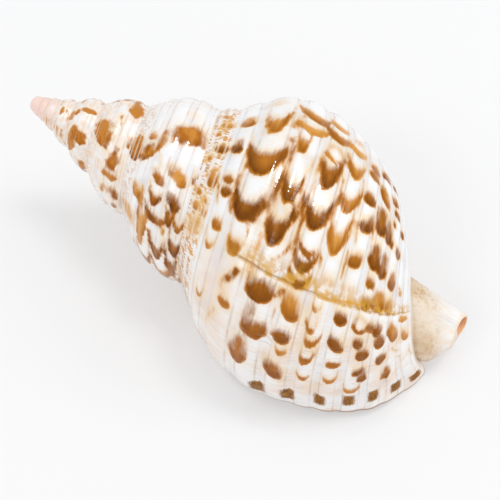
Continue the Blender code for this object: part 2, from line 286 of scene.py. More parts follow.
# Small flecks on the band below the suture.
BAND_FLECKS = (
    (44, 50, 0.3, 0.85, 0, 0.25), (63, 70, 0.4, 0.95, 0, 0.7), (79, 90, 0.5, 0.96, 0, 0.45),
    (54, 58, 0.15, 0.4, 0, 0.3), (93, 96.5, 0.1, 0.45, 0, 0.3), (96, 99, 0.6, 0.9, 3, 0.3),
    (100, 105, 0.15, 0.55, 0, 0.25), (100, 106, 0.7, 0.95, 0, 0.3), (108, 112, 0.5, 0.8, 0, 0.2),
    (34, 39, 0.2, 0.6, 0, 0.3), (72, 76, 0.15, 0.4, 0, 0.35), (113, 118, 0.2, 0.4, 0, 0.2),
)

# Crescents on the whorl before the last, and on the two before that.
EARLY_CRESCENTS = (
    (-287, -262.5, 0.0, 0.98, 0, 0.62), (-290.5, -282.5, 1.15, 1.85, 0, 0.42),
    (-280.5, -266.5, 0.95, 2.0, -6, 0.5), (-295, -277, 2.0, 2.45, -8, 0.5),
    (-303, -287, 2.55, 4.1, -4, 0.5), (-290, -285, 2.55, 3.0, 0, 0.55),
    (-299, -289, 4.0, 4.46, 0, 0.5), (-252, -243, 2.4, 3.0, 0, 0.75), (-240.5, -232.5, 2.45, 3.5, 0, 0.75),
    (-221, -208, 2.85, 3.55, 0, 0.75), (-256, -247, 3.3, 4.08, 4, 0.95), (-247, -236.5, 3.36, 3.85, 4, 0.8),
    (-265, -257, 2.35, 3.0, 2, 0.6), (-240, -208, 2.0, 2.6, -6, 0.35), (-250, -240, 1.1, 1.95, 0, 0.3),
    (-272, -262.5, 2.95, 4.0, 3, 0.2),
    (-243, -234.5, 3.8, 4.46, 3, 0.45), (-229, -216, 3.82, 4.46, 0, 0.9), (-214, -192, 3.72, 4.3, 10, 0.8),
    (-274, -266, 4.25, 4.46, 0, 0.4), (-236, -229, 3.3, 3.6, 0, 0.35),
    (-647, -636, 0.25, 1.05, 0, 0.35), (-640, -619.5, 1.0, 2.05, 0, 0.55), (-641, -618, 2.1, 2.68, 0, 0.6),
    (-627, -619.5, 2.98, 3.6, 0, 0.7), (-618, -603.5, 2.72, 3.82, -4, 0.75), (-585, -575, 3.45, 4.3, 0, 0.95),
    (-584, -575, 2.65, 3.1, 0, 0.35), (-569, -555, 3.55, 4.02, 0, 0.75), (-644, -629, 3.98, 4.46, 0, 0.7),
    (-982, -960, 2.4, 4.0, 0, 0.6), (-970, -945, 0.8, 2.3, 0, 0.45), (-1022, -1018, 3.8, 4.2, 0, 0.45),
    (-651, -620, 0.5, 2.3, 6, 0.15), (-690, -664, 3.1, 4.4, 0, 0.12), (-601, -591, 2.6, 3.9, 0, 0.4),
    (-1014, -990, 0.05, 1.0, -6, 0.2), (-1020, -1004, 0.9, 2.0, -6, 0.15), (-1026, -1014, 2.0, 4.2, 0, 0.1),
    (-985, -935, 1.0, 2.6, -14, 0.25), (-935, -912, 3.1, 4.2, 0, 0.4),
)
EARLY_SOFT_MARKS = (
    (-229, -210, 0.2, 1.9, -4, 0.15), (-601, -594, 0.4, 0.95, 0, 0.3),
    (-585, -576, 2.9, 3.6, 0, 0.1), (-652, -641, 0.8, 2.8, 0, 0.1),
)
READ_SPANS = ((15, 175), (-345, -195), (-690, -550), (-1040, -910))  # degrees, read off
EARLY_ANGLE = -1040.0  # before this the whorls are nearly plain
SPIRE_ANGLE = -195  # before this the marks are wider
COVERED_ANGLE = -160  # before this the next whorl covers the ribs past the suture

# The marks made up for the hidden sides: least and most, in degrees along and in ribs across.
MADE_UP_SEED = 17
MADE_UP_TURNS = (-1700, 150)
MADE_UP_WIDTHS = (6, 12)
MADE_UP_SPIRE_WIDTHS = (9, 17)
MADE_UP_GAPS = (4, 10)
MADE_UP_LEANS = (-5, 1)
MADE_UP_TOPS = (0.0, 0.15)
MADE_UP_BOTTOMS = (0.7, 0.95)
MADE_UP_TONES = (0.4, 0.9)
WITH_TAILS = 0.5  # the share that trail a tail, that are full, and that are full or thin
FULL_MARKS = 0.7
FULL_OR_THIN_MARKS = 0.85

# How a crescent bows at its front and at its back, and where its back stands. The full ones
# that start between these ribs and turn angles have two arms.
ARMED_BOWS = (1.15, 1.05, -0.75)
PLAIN_BOWS = (0.4, -0.3, -1.05)
THIN_BOWS = (1.0, 1.1, -0.1)
ARMED_RIBS = (1.9, 5.95)
ARMED_TURNS = ((0, 108), (-256, -195))
ARMED_REACH = 1.32  # how far from its middle a crescent ends, against half its height
PLAIN_REACH = 1.12
STROKE_STEPS = 6
MARGIN_ALONG = 9  # a mark is worked out this far round it, in degrees and in ribs
MARGIN_ACROSS = 0.6

# Strokes, mostly the tails that trail from a crescent along the groove below it: three points
# of (turn angle, profile coordinate), the widths at both ends in grown mm, and the tone.
STROKES = (
    (95, 2.6, 90, 2.86, 80, 2.97, 1.7, 0.7, 0.75), (79, 3.5, 74, 3.68, 67, 3.78, 1.4, 0.5, 0.6),
    (93, 3.5, 88, 3.78, 81, 3.96, 1.7, 0.8, 0.75), (104, 3.5, 101, 3.82, 94, 3.97, 1.0, 0.7, 0.6),
    (66, 4.75, 59, 4.9, 50, 5.0, 1.1, 0.6, 0.35), (84, 4.75, 79, 4.92, 70, 4.99, 1.3, 0.5, 0.45),
    (88, 5.72, 83, 5.9, 76, 5.99, 1.1, 0.5, 0.35), (57, 2.93, 63, 2.9, 70, 2.98, 0.9, 0.9, 0.3),
    (57, 3.02, 66, 3.12, 77, 3.02, 1.3, 1.1, 0.7), (78, 2.98, 86, 3.08, 94, 3.02, 1.3, 1.0, 0.65),
    (84, 4.02, 88, 3.98, 96, 4.0, 1.2, 0.8, 0.55), (63, 4.98, 72, 5.02, 80, 4.97, 0.9, 0.8, 0.35),
    (96, 5.0, 100, 5.04, 106, 5.0, 0.8, 0.7, 0.4), (70, 1.95, 76, 2.0, 84, 2.0, 0.7, 0.5, 0.4),
    (56, 6.0, 64, 6.03, 72, 5.98, 0.8, 0.6, 0.4), (88, 6.0, 94, 6.04, 100, 6.0, 0.8, 0.6, 0.35),
    (89, 1.97, 92, 1.9, 96, 2.02, 1.3, 1.0, 0.4), (88, 1.12, 92, 1.2, 95.5, 1.33, 1.1, 0.8, 0.5),
    (113.5, 2.68, 117, 2.6, 120, 2.45, 1.3, 1.3, 0.7), (119, 2.45, 122, 2.36, 124.5, 2.44, 1.0, 0.8, 0.55),
    (76, 6.14, 80, 6.16, 84.5, 6.22, 0.8, 0.6, 0.55), (109.4, 3.0, 109.8, 3.6, 109.4, 4.3, 0.3, 0.3, 0.75),
    (98, 2.98, 104, 3.0, 111, 2.96, 1.2, 1.0, 0.12), (60, 4.02, 70, 4.05, 78, 4.03, 0.7, 0.7, 0.35),
    (112, 4.1, 115, 3.98, 116, 3.75, 1.2, 1.2, 0.5), (130, 3.85, 126, 3.97, 120, 4.0, 0.9, 0.4, 0.35),
    (137, 3.3, 134, 3.4, 131, 3.6, 1.0, 0.5, 0.4), (93.5, 9.4, 94, 9.6, 95, 9.9, 0.8, 0.8, 0.15),
    (130, 9.5, 133, 9.75, 136, 9.95, 0.6, 0.5, 0.12), (139, 9.8, 143, 10.1, 141, 10.3, 0.5, 0.5, 0.15),
    (142, 10.8, 146, 10.86, 151, 10.92, 0.5, 0.4, 0.2), (134, 2.35, 139, 2.25, 145, 2.15, 0.4, 0.3, 0.3),
    (82, 7.98, 88, 8.12, 93, 8.1, 0.6, 0.6, 0.3), (109, 6.0, 107, 6.5, 108, 7.0, 1.1, 1.1, 0.12),
    (50, 2.9, 44, 3.02, 40, 3.1, 1.2, 0.6, 0.25), (62, 7.0, 70, 7.02, 79, 6.98, 0.6, 0.6, 0.35),
    (-275, 2.4, -270, 2.45, -266, 2.6, 0.5, 0.4, 0.3), (-250, 2.0, -243, 2.1, -236, 2.2, 1.5, 1.5, 0.12),
    (-616, 3.75, -622, 3.82, -629, 3.82, 0.7, 0.5, 0.7), (-585, 2.9, -585.5, 3.2, -585, 3.6, 0.6, 0.6, 0.7),
    (-660, 2.75, -650, 2.8, -645, 3.2, 1.4, 1.2, 0.05), (-646, 2.4, -647, 3.0, -646, 3.4, 1.2, 0.8, 0.1),
)

# Squares along the lip's edge: their profile coordinates, half height and reach in degrees.
# Pairs of teeth stand inside the lip at each of them and at two places nearer the suture.
LIP_SQUARES = (3.9, 4.95, 6.25, 7.45, 8.5, 9.7, 10.7)
LIP_TEETH = (1.75, 2.8) + LIP_SQUARES
LIP_SQUARE_HALF = 0.28
LIP_SQUARE_ARC = (-16.0, -6.0)
LIP_SQUARE_STRETCH = 8.0  # the squares nearer the suture reach further back

# The finishes' places on the shell: the outside comes first, at 0.
LINING_FINISH = 1
PILLAR_FINISH = 2
GROOVE_FINISH = 3

# Noises that grow with the shell: stretch along and across the ribs, scale, detail, roughness.
NOISE_INPUTS = ("Turn angle", "Rib", "Along", "Across", "Scale", "Detail", "Roughness")
NOISE_PER_RADIAN = 55
NOISE_PER_RIB = 11
CLOUD_NOISE = (0.8, 1.0, 0.10, 3.0, 0.55)
SHADE_NOISE = (0.6, 0.5, 0.13, 2.0, 0.4)
SPECK_NOISE = (0.9, 0.9, 0.28, 3.0, 0.6)
WRINKLE_NOISE = (3.0, 0.35, 0.5, 2.0, 0.6)
GROWTH_LINE_NOISE = (6.0, 0.25, 0.5, 2.0, 0.5)
DASH_NOISE = (2.6, 0.6, 0.3, 2.0, 0.5)
STREAK_NOISE = (0.3, 1.8, 0.7, 3.0, 0.6)
LUMP_NOISE = (0.8, 1.0, 0.16, 1.0, 0.5)
RAGGED_NOISE = (0.7, 1.0, 0.35, 2.0, 0.5)
STRIPE_NOISE = (0.25, 4.0, 1.0, 2.0, 0.5)
STEP_NOISE = (6.0, 0.5, 0.12, 1.0, 0.5)
LINING_NOISE = (0.5, 0.5, 0.15, 3.0, 0.5)
FOLD_NOISE = (0.6, 60.0, 0.25, 3.0, 0.5)

# Spans over which a finish changes: the two ends of what it follows, then the amounts there
# where they aren't 0 and 1. TURNS follow the turn angle in degrees, RIBS the profile coordinate.
LILAC_CLOUDS = (0.5, 0.75, 0.0, 0.6)
# The next three spans paint lilac shade into the grooves between the ribs: how far from a groove, then less
# on the spire and by the lip.
PAINTED_GROOVE_SHADE = (0.34, 0.12, 0.0, 0.3)
PAINTED_GROOVE_SHADE_SPIRE_TURNS = (-500, -100, 0.2, 1.0)
PAINTED_GROOVE_SHADE_LIP_TURNS = (105, 125, 1.0, 0.3)
CREAM_CLOUDS = (0.52, 0.75, 0.0, 0.6)
PEACH_TURNS = (105, 125)
PEACH_CLOUDS = (0.42, 0.62, 0.1, 0.5)
SPIRE_TURNS = (-700, -90, 0.85, 0.0)
SPIRE_CLOUDS = (0.4, 0.6, 0.2, 1.0)
TIP_TURNS = (-2000, -1250, 1.0, 0.0)
CANAL_RIBS = (10.8, 12.2, 0.0, 0.8)
CANAL_END_RIBS = (13.8, 12.2, 0.3, 1.0)

# The band below the suture.
BAND_RIBS = (1.02, 0.85)
BAND_TURNS = (-150, -60, 0.4, 1.0)
BAND_CREAM = 0.25
BAND_WRINKLES = (0.55, 0.64, 0.0, 0.45)
BAND_DASHES = (0.49, 0.56, 0.0, 0.85)
BAND_SPECKS = (0.52, 0.60, 0.0, 0.9)
DASHED_CORDS = (-0.3, 0.3)

# The marks: their edges and halos in grown mm, and how dark and red they are.
LUMP_TURNS = (-160, -300, 1.0, 4.0)
RAGGED_TURNS = (-150, -200, 1.4, 2.4)
STREAK_REACH = 2.8
MARK_SPREAD = 0.35
MARK_BLUR = 0.45
FADED_BLUR = 3.2
BLUR_TURNS = (-160, -300, 0.0, 0.8)
CORD_GAPS = (-0.2, -0.9)
CORD_RIBS = (1.0, 0.9)
CORD_GAP_LOSS = 0.55
HALO_DEPTH = (-2.2, 0.4)
HALO_TURNS = (30, 60, 0.7, 1.0)
HALO_LIP_TURNS = (108, 118, 1.0, 0.8)
HALO_CLOUDS = (0.4, 0.6, 0.25, 0.6)
LINE_BLUR = (0.06, 0.0)
LINE_CLOUDS = (0.4, 0.62, 0.1, 0.5)
CORE_DEPTH = (0.0, 1.2, 0.2, 1.0)
FADE_PALER = 0.4
STREAK_DARKER = 0.3
PATCHY_TURNS = (-300, -200, 2.4, 0.6)
DARKER_SPIRE_TURNS = (-180, -400, 0.0, 0.12)
DARKER_LIP_TURNS = (108, 125, 0.0, 0.1)
REDDER_SPIRE_TURNS = (-230, -330, 0.0, 0.6)
REDDER_LIP_TURNS = (108, 125, 0.0, 0.3)

# The growth break's stain and line.
STAIN_START = (-11 * DEG, -1 * DEG)
STAIN_STOP = (0.2 * DEG, -0.6 * DEG)
STAIN_SPECKS = (0.4, 0.56, 0.1, 0.9)
STAIN_RIBS = (2.0, 3.2)
STEP_LINE_AT = -1.2 * DEG
STEP_LINE_BLUR = (0.7 * DEG, 0.1 * DEG)
STEP_LINE_RIBS = (2.0, 2.8)
STEP_LINE_CLOUDS = (0.35, 0.6, 0.1, 0.7)

# The lip's squares in grown mm, and its edge and growth lines in degrees to that edge.
SQUARE_RAGGED = 3.5
SQUARE_DEPTH = (-0.5, 1.1)
TOOTH_STRIPES = (0.35, 0.65)
RIM_REACH = (-2.4, -1.2, 0.0, 0.8)
RIM_RIBS = (12.4, 11.8)
BY_LIP = (-70.0, -40.0)
DRAWN_LINES = (0.54, 0.68, 0.0, 0.4)

# The canal's golden network, blot and pale end.
WAVER_SCALE = 200.0
WAVER_REACH = (0.007, 0.007, 0.007)
NETWORK_SCALE = 340.0
NETWORK_THREADS = (0.0, 0.3)
NETWORK_RISE = (11.0, 11.6)
NETWORK_FALL = (13.7, 11.9)
NETWORK_DRIFTS = (0.34, 0.56, 0.35, 1.0)
NETWORK_LEAST = 0.45
NETWORK_MORE = 0.45
DRIFT_SCALE = 75.0
BLOT_RISE_TURNS = (118, 140)
BLOT_FALL_TURNS = (185, 160)
BLOT_RISE_RIBS = (11.7, 12.2)
BLOT_FALL_RIBS = (12.8, 12.3)
BLOT_DRIFTS = (0.35, 0.6, 0.25, 0.7)
CANAL_RIM_RIBS = (13.8, 13.97, 0.0, 0.8)

# Shine and fine relief.
PORCELAIN_ROUGHNESS = 0.1
SHINE = 0.28  # of the porcelain away from the lip
SQUARE_SHINE = 0.02
LIP_SHINE = 0.4  # the share of it by the lip
LINE_RELIEF = 0.3
RELIEF_HEIGHT = 0.6 * MM
RELIEF_STRENGTH = 0.22
GLAZE_ROUGHNESS = 0.2
GLAZE_COAT = 0.5
GLAZE_COAT_ROUGHNESS = 0.08
CANAL_ROUGHNESS = 0.25

# The lining, the pillar and the groove.
LINING_TO_LIP = (-120.0, -10.0)
LINING_CLOUDS = (0.35, 0.8, 0.0, 0.5)
FOLD_WOBBLE = 0.8
WHITE_FOLDS = (0.75, 0.15)
PILLAR_DARK_TURN = (60 * DEG, 130 * DEG)
CANAL_CLOUD_SCALE = 120.0
CANAL_CLOUDS = (0.35, 0.7)

# Colours.
LINING_CREAM = (0.86, 0.74, 0.62, 1)
LINING_ORANGE = (0.80, 0.36, 0.14, 1)
LINING_PALE_ORANGE = (0.88, 0.56, 0.32, 1)
PILLAR_ORANGE = (0.80, 0.44, 0.22, 1)
PILLAR_BROWN = (0.10, 0.035, 0.018, 1)
PILLAR_WHITE = (0.86, 0.72, 0.56, 1)
CANAL_ORANGE = (0.90, 0.44, 0.20, 1)
CANAL_PALE_ORANGE = (0.90, 0.62, 0.38, 1)
CANAL_RIM = (0.92, 0.76, 0.60, 1)
LINE_BROWN = (0.55, 0.36, 0.22, 1)
RIM_BROWN = (0.30, 0.13, 0.05, 1)
FLOOR_GREY = (0.55, 0.55, 0.55, 1)
FLOOR_LIGHT = (1.0, 1.0, 1.0, 1)
WORLD_WHITE = (0.97, 0.98, 1.0, 1)
GROUND_WHITE = (0.90, 0.90, 0.90, 1)
GROUND_CREAM = (0.88, 0.74, 0.56, 1)
GROUND_PEACH = (0.90, 0.69, 0.52, 1)
# Lilac for the clouds and for the painted shade in the grooves.
LILAC_CLOUD_AND_SHADE = (0.68, 0.65, 0.69, 1)
SPIRE_CREAM = (0.90, 0.74, 0.60, 1)
TIP_PINK = (0.88, 0.66, 0.59, 1)
BAND_TAN = (0.66, 0.41, 0.22, 1)
BAND_BROWN = (0.52, 0.25, 0.08, 1)
GROWTH_LINE = (0.52, 0.32, 0.24, 1)
TOOTH_DARK = (0.13, 0.042, 0.004, 1)
TOOTH_LIGHT = (0.42, 0.185, 0.035, 1)
CANAL_CREAM = (0.87, 0.77, 0.64, 1)
CANAL_BROWN = (0.58, 0.34, 0.11, 1)
STAIN_YELLOW = (0.68, 0.36, 0.05, 1)
BREAK_BROWN = (0.32, 0.14, 0.02, 1)
ORANGE = (0.74, 0.36, 0.09, 1)
PALE_ORANGE = (0.85, 0.60, 0.27, 1)
MARK_RAMP = (
    (0.0, (0.70, 0.33, 0.07, 1)),
    (0.3, (0.46, 0.165, 0.018, 1)),
    (0.65, (0.24, 0.074, 0.005, 1)),
    (1.0, (0.07, 0.018, 0.002, 1)),
)
RED_BROWN = (0.47, 0.145, 0.009, 1)  # the marks are redder on the earlier whorls and near the lip


def ease(low, high, value):
    """0 below low, 1 above high and a smooth rise between them."""
    share = np.clip((value - low) / (high - low), 0, 1)
    return share * share * (3 - 2 * share)


def smooth_curve(points, position):
    """Points on the smooth curve through the points, at fractional indices."""
    points = np.asarray(points, float)
    slopes = np.gradient(points, axis=0)
    start = np.clip(np.floor(position), 0, len(points) - 2).astype(int)
    t = (position - start)[..., None]
    return (
        (2 * t**3 - 3 * t**2 + 1) * points[start]
        + (t**3 - 2 * t**2 + t) * slopes[start]
        + (3 * t**2 - 2 * t**3) * points[start + 1]
        + (t**3 - t**2) * slopes[start + 1]
    )


def lip_angle(rib):
    """The turn angle of the mouth's edge: swept back at the suture and round the canal."""
    back = np.maximum(0.0, 1 - rib / LIP_BACK_END)
    front = ease(LIP_FRONT_START, BASE_EDGE, rib)
    scallop = SCALLOP * np.cos(TURN * rib) * ease(*SCALLOP_RISE, rib) * (1 - ease(*SCALLOP_FALL, rib))
    return (
        LIP_ANGLE_MIDDLE
        + (LIP_ANGLE_SUTURE - LIP_ANGLE_MIDDLE) * back**2
        + (LIP_ANGLE_CANAL - LIP_ANGLE_MIDDLE) * front
        - scallop
    )


def facing(angle, side):
    """1 on the last whorl where it faces a side, 0 a quarter turn away and beyond."""
    return np.where(np.abs(angle - side) < math.pi / 2, np.cos(angle - side) ** 2, 0.0)


def relief(angle, rib):
    """Height of ribs, riblets, varices and the growth break above the smooth whorl."""
    off_groove = np.abs(rib - np.round(rib))
    ribbed = ease(*RIBS_RISE, rib) * (1 - ease(*RIBS_FALL, rib))
    height = RIB_HEIGHT * (RIB_CROWN - (1 - 2 * off_groove) ** 3)
    height += RIBLET_HEIGHT * np.exp(-((off_groove / RIBLET_WIDTH) ** 2))
    height -= LINE_DEPTH * np.exp(-(((off_groove - LINE_AT) / LINE_WIDTH) ** 2))
    height *= ribbed * (1 - LIP_SMOOTHING * ease(*LIP_SMOOTH_ARC, angle - lip_angle(rib)))
    cords = CORD_HEIGHT * np.cos(TURN * CORDS * rib)
    height += cords * ease(*CORDS_RISE, rib) * (1 - ease(*CORDS_FALL, rib))
    varices_back = (LAST_VARIX_ANGLE - angle) / VARIX_SPACING
    off_varix = (varices_back - np.maximum(1, np.round(varices_back))) * VARIX_SPACING
    thickened = ease(*THICKENING_RISE, rib) * (1 - ease(*THICKENING_FALL, rib))
    height += VARIX_HEIGHT * np.exp(-((off_varix / VARIX_WIDTH) ** 2)) * thickened
    swept = np.maximum(0.0, 1 - rib / BREAK_BACK_END) ** BREAK_BACK_BOW
    break_at = BREAK_ANGLE + BREAK_BACK_SWEEP * swept
    step = ease(break_at - BREAK_HALF_ARC, break_at + BREAK_HALF_ARC, angle)
    return height + BREAK_HEIGHT * step * thickened


def whorl_point(angle, rib, raised=True):
    """(along, out) in mm of the grown profile, without the canal."""
    angle, rib = np.broadcast_arrays(np.asarray(angle, float), np.asarray(rib, float))
    size = np.exp(GROWTH * angle)
    along, out = np.moveaxis(smooth_curve(PROFILE, np.minimum(rib, LAST_RIB)), -1, 0) * size
    if raised:
        out = out + relief(angle, rib) * size
    flared = np.clip((angle - lip_angle(rib)) / FLARE_ARC + 1, 0, 1) ** FLARE_TURN
    flare = FLARE_OUT * ease(*FLARE_RISE, rib) * (1 - ease(*FLARE_FALL, rib))
    flare = flare - FLARE_LESS[0] * np.exp(-(((rib - FLARE_LESS[1]) / FLARE_LESS[2]) ** 2))
    flare = flare + FLARE_MORE[0] * np.exp(-(((rib - FLARE_MORE[1]) / FLARE_MORE[2]) ** 2))
    out = out + flare * flared
    shoulder = ease(*SHOULDER_RISE, rib) * (1 - ease(*SHOULDER_FALL, rib))
    out = out - SHOULDER_DIP * shoulder * facing(angle, SHOULDER_DIP_SIDE)
    along = along - BASE_PULL * ease(*BASE_PULL_RISE, rib) * ease(*BASE_PULL_TURN, angle)
    return along, np.where(rib <= SUTURE_RIB, np.hypot(out, DOME_RADIUS), out)


def shell_point(angle, rib):
    """Points of the outer surface in the shell's own frame: along the axis, up, near."""
    along, out = whorl_point(angle, rib)
    turned = np.clip(angle / TURN + 0.5, *BASE_EDGE_TURNS)
    edge_along = BASE_EDGE_START[0] + BASE_EDGE_GROWTH[0] * turned ** BASE_EDGE_POWERS[0]
    edge_out = BASE_EDGE_START[1] + BASE_EDGE_GROWTH[1] * turned ** BASE_EDGE_POWERS[1]
    share = np.clip((rib - BASE_EDGE) / (CANAL_END - BASE_EDGE), 0.0, 1.0)
    bow = np.minimum(turned, 1.0) ** 3
    tip_along = CANAL_TIP[0] - CANAL_SLANT * np.cos(angle - CANAL_SLANT_ANGLE)
    canal_along = edge_along + (tip_along - edge_along) * share ** (1 - CANAL_BOWS[0] * bow)
    narrowing = (1 - share) ** (1.0 + CANAL_BOWS[1] * bow)
    tip_out = CANAL_TIP[1] + CANAL_WING * ease(*CANAL_WING_RISE, angle)
    canal_out = tip_out + (edge_out - tip_out) * narrowing
    blend = ease(CANAL_BLEND_START, BASE_EDGE, rib)
    along = along + (canal_along - along) * blend
    out = out + (canal_out - out) * blend
    drop = CANAL_DROP * blend
    return np.stack(
        (
            along,
            out * np.cos(angle) + drop * math.cos(CANAL_DROP_ANGLE),
            out * np.sin(angle) + drop * math.sin(CANAL_DROP_ANGLE),
        ),
        axis=-1,
    )


def turned_to_rest(directions):
    """Directions of the shell's own frame as the shell lies, +Z up."""
    along, up, near = np.moveaxis(np.asarray(directions, float), -1, 0)
    down_side = up * math.cos(DOWNWARD_ANGLE) + near * math.sin(DOWNWARD_ANGLE)
    far_side = near * math.cos(DOWNWARD_ANGLE) - up * math.sin(DOWNWARD_ANGLE)
    return np.stack(
        (
            along * math.cos(SPIRE_RAISED) - down_side * math.sin(SPIRE_RAISED),
            far_side,
            -along * math.sin(SPIRE_RAISED) - down_side * math.cos(SPIRE_RAISED),
        ),
        axis=-1,
    )


def at_rest(points):
    """Points of the shell's own frame, in mm, as they lie on the floor, in metres."""
    return MM * (turned_to_rest(points) + np.array(AXIS_START))


def rib_columns():
    """Profile coordinates of the mesh's columns, closest at the fine lines of each groove."""
    columns = [rib + part for rib in range(LAST_RIB) for part in COLUMN_PARTS]
    columns += list(np.linspace(LAST_RIB, CANAL_END, CANAL_COLUMNS))
    columns = [column for column in columns if abs(column - SUTURE_RIB) > 0.05]
    return np.array(sorted(columns + [SUTURE_RIB]))


def row_angle(row, rib):
    """Rows stand at even angles, then fan out to reach the lip's edge."""
    start = LAST_STRAIGHT_ROW * ROW_STEP
    share = (row - LAST_STRAIGHT_ROW) / (SUTURE_LIP_ROW - LAST_STRAIGHT_ROW)
    return np.where(row <= LAST_STRAIGHT_ROW, row * ROW_STEP, start + (lip_angle(rib) - start) * share)


def mesh_rows():
    rows = [row for start, end, step in ROW_TIERS for row in range(start, end, step)]
    return rows + [SUTURE_LIP_ROW]


class Surface:
    """Collects points and faces, with the growth coordinates of every face corner."""

    def __init__(self):
        self.places = []
        self.faces = []
        self.corners = []
        self.finishes = []

    def add_points(self, places):
        start = len(self.places)
        self.places.extend(np.reshape(places, (-1, 3)))
        return start

    def add_face(self, indices, corners, finish=0):
        kept = [n for n, index in enumerate(indices) if index != indices[n - 1]]
        if len(kept) > 2:
            self.faces.append([indices[n] for n in kept])
            self.corners.extend(corners[n] for n in kept)
            self.finishes.append(finish)

    def as_object(self, name, finishes):
        data = bpy.data.meshes.new(name)
        data.from_pydata([tuple(place) for place in self.places], [], self.faces)
        growth = data.uv_layers.new(name="growth")
        growth.data.foreach_set("uv", np.array(self.corners, np.float32).ravel())
        for finish in finishes:
            data.materials.append(finish)
        data.polygons.foreach_set("material_index", self.finishes)
        data.polygons.foreach_set("use_smooth", [True] * len(self.faces))
        mesh = bmesh.new()
        mesh.from_mesh(data)
        loose = [vertex for vertex in mesh.verts if not vertex.link_faces]
        bmesh.ops.delete(mesh, geom=loose, context="VERTS")
        bmesh.ops.recalc_face_normals(mesh, faces=mesh.faces)
        mesh.to_mesh(data)
        mesh.free()
        made = bpy.data.objects.new(name, data)
        bpy.context.scene.collection.objects.link(made)
        return made


def outer_form(finishes):
    """The whole shell filled solid, with a plain face across its mouth."""
    surface = Surface()
    columns = rib_columns()
    suture = int(np.argmin(np.abs(columns - SUTURE_RIB)))
    rows = mesh_rows()
    place = {row: n for n, row in enumerate(rows)}
    row_grid, rib_grid = np.meshgrid(np.array(rows, float), columns, indexing="ij")
    angles = row_angle(row_grid, rib_grid)
    index = np.arange(angles.size).reshape(angles.shape)
    surface.add_points(at_rest(shell_point(angles, rib_grid)))
    for row in rows:
        if row <= FIRST_BODY_ROW:
            index[place[row], suture] = index[place[row + ROWS_PER_TURN], 0]
    index = index.tolist()
    growth = np.stack((angles, rib_grid), axis=-1).tolist()

    def add_cell(corners):
        surface.add_face([index[r][c] for r, c in corners], [growth[r][c] for r, c in corners])

    for r in range(len(rows) - 1):
        spire = rows[r] < FIRST_BODY_ROW
        last = suture if spire else len(columns) - 1
        for c in range(last):
            corners = [(r, c), (r, c + 1), (r + 1, c + 1), (r + 1, c)]
            if not (spire and c + 1 == suture):
                add_cell(corners)
                continue
            # The next whorl has more rows along this suture, so the cell takes them all in.
            indices = [index[i][j] for i, j in corners]
            places = [growth[i][j] for i, j in corners]
            first = place[rows[r] + ROWS_PER_TURN]
            after = place[rows[r + 1] + ROWS_PER_TURN]
            for n, between in enumerate(range(first + 1, after)):
                indices.insert(2 + n, index[between][0])
                places.insert(2 + n, [growth[between][0][0] - TURN, SUTURE_RIB])
            surface.add_face(indices, places)

    ring_rows = [FIRST_ROW + ROWS_PER_TURN - DOME_STEP * n for n in range(DOME_POINTS)]
    rim = [index[place[row]][0] for row in ring_rows]
    start_angle = FIRST_ROW * ROW_STEP
    turns = start_angle - np.arange(DOME_POINTS) * DOME_STEP * ROW_STEP
    rings = [rim]
    for along, out in DOME_RINGS:
        ring = np.stack((np.full(DOME_POINTS, along), out * np.cos(turns), out * np.sin(turns)), axis=-1)
        first = surface.add_points(at_rest(ring))
        rings.append(list(range(first, first + DOME_POINTS)))

    def add_tip(indices):
        surface.add_face(indices, [(start_angle, 0.5)] * len(indices))

    for ring, following in zip(rings, rings[1:]):
        for n in range(DOME_POINTS - 1):
            add_tip((ring[n], ring[n + 1], following[n + 1], following[n]))
    for ring, following in zip(rings[1:], rings[2:]):
        add_tip((ring[-1], ring[0], following[0], following[-1]))
    step = [index[0][c] for c in range(suture + 1)]
    add_tip((rim[-1], step[0], rings[1][0], rings[1][-1]))
    for first, second in zip(step, step[1:]):
        add_tip((first, second, rings[1][0]))
    top = surface.add_points(at_rest((DOME_TOP, 0.0, 0.0)))
    for n in range(DOME_POINTS):
        add_tip((rings[-1][n - 1], rings[-1][n], top))

    body = place[FIRST_BODY_ROW]
    lip = len(rows) - 1
    for c in range(len(columns) - 1):
        inner, inner_next = max(c, suture), max(c + 1, suture)
        add_cell([(lip, c), (lip, c + 1), (body, inner_next), (body, inner)])
    add_cell([(r, len(columns) - 1) for r in range(body, lip + 1)])
    return surface.as_object("shell_surface", finishes)


def inset(points, distance):
    """Each point moved to the right of the path along the points."""
    along = np.gradient(points, axis=0)
    right = np.stack((along[:, 1], -along[:, 0]), axis=1)
    return points + np.reshape(distance, (-1, 1)) * right / np.linalg.norm(right, axis=1, keepdims=True)


def lip_teeth(angle, rib):
    """Small paired ridges on the lip's inner side."""
    to_lip = angle - lip_angle(rib)
    near = ease(*TOOTH_ARC, to_lip)
    tops = [middle + side for middle in LIP_TEETH for side in TOOTH_SIDES]
    pairs = sum(np.exp(-(((rib - top) / TOOTH_WIDTH) ** 2)) for top in tops)
    return TOOTH_HEIGHT * near * pairs


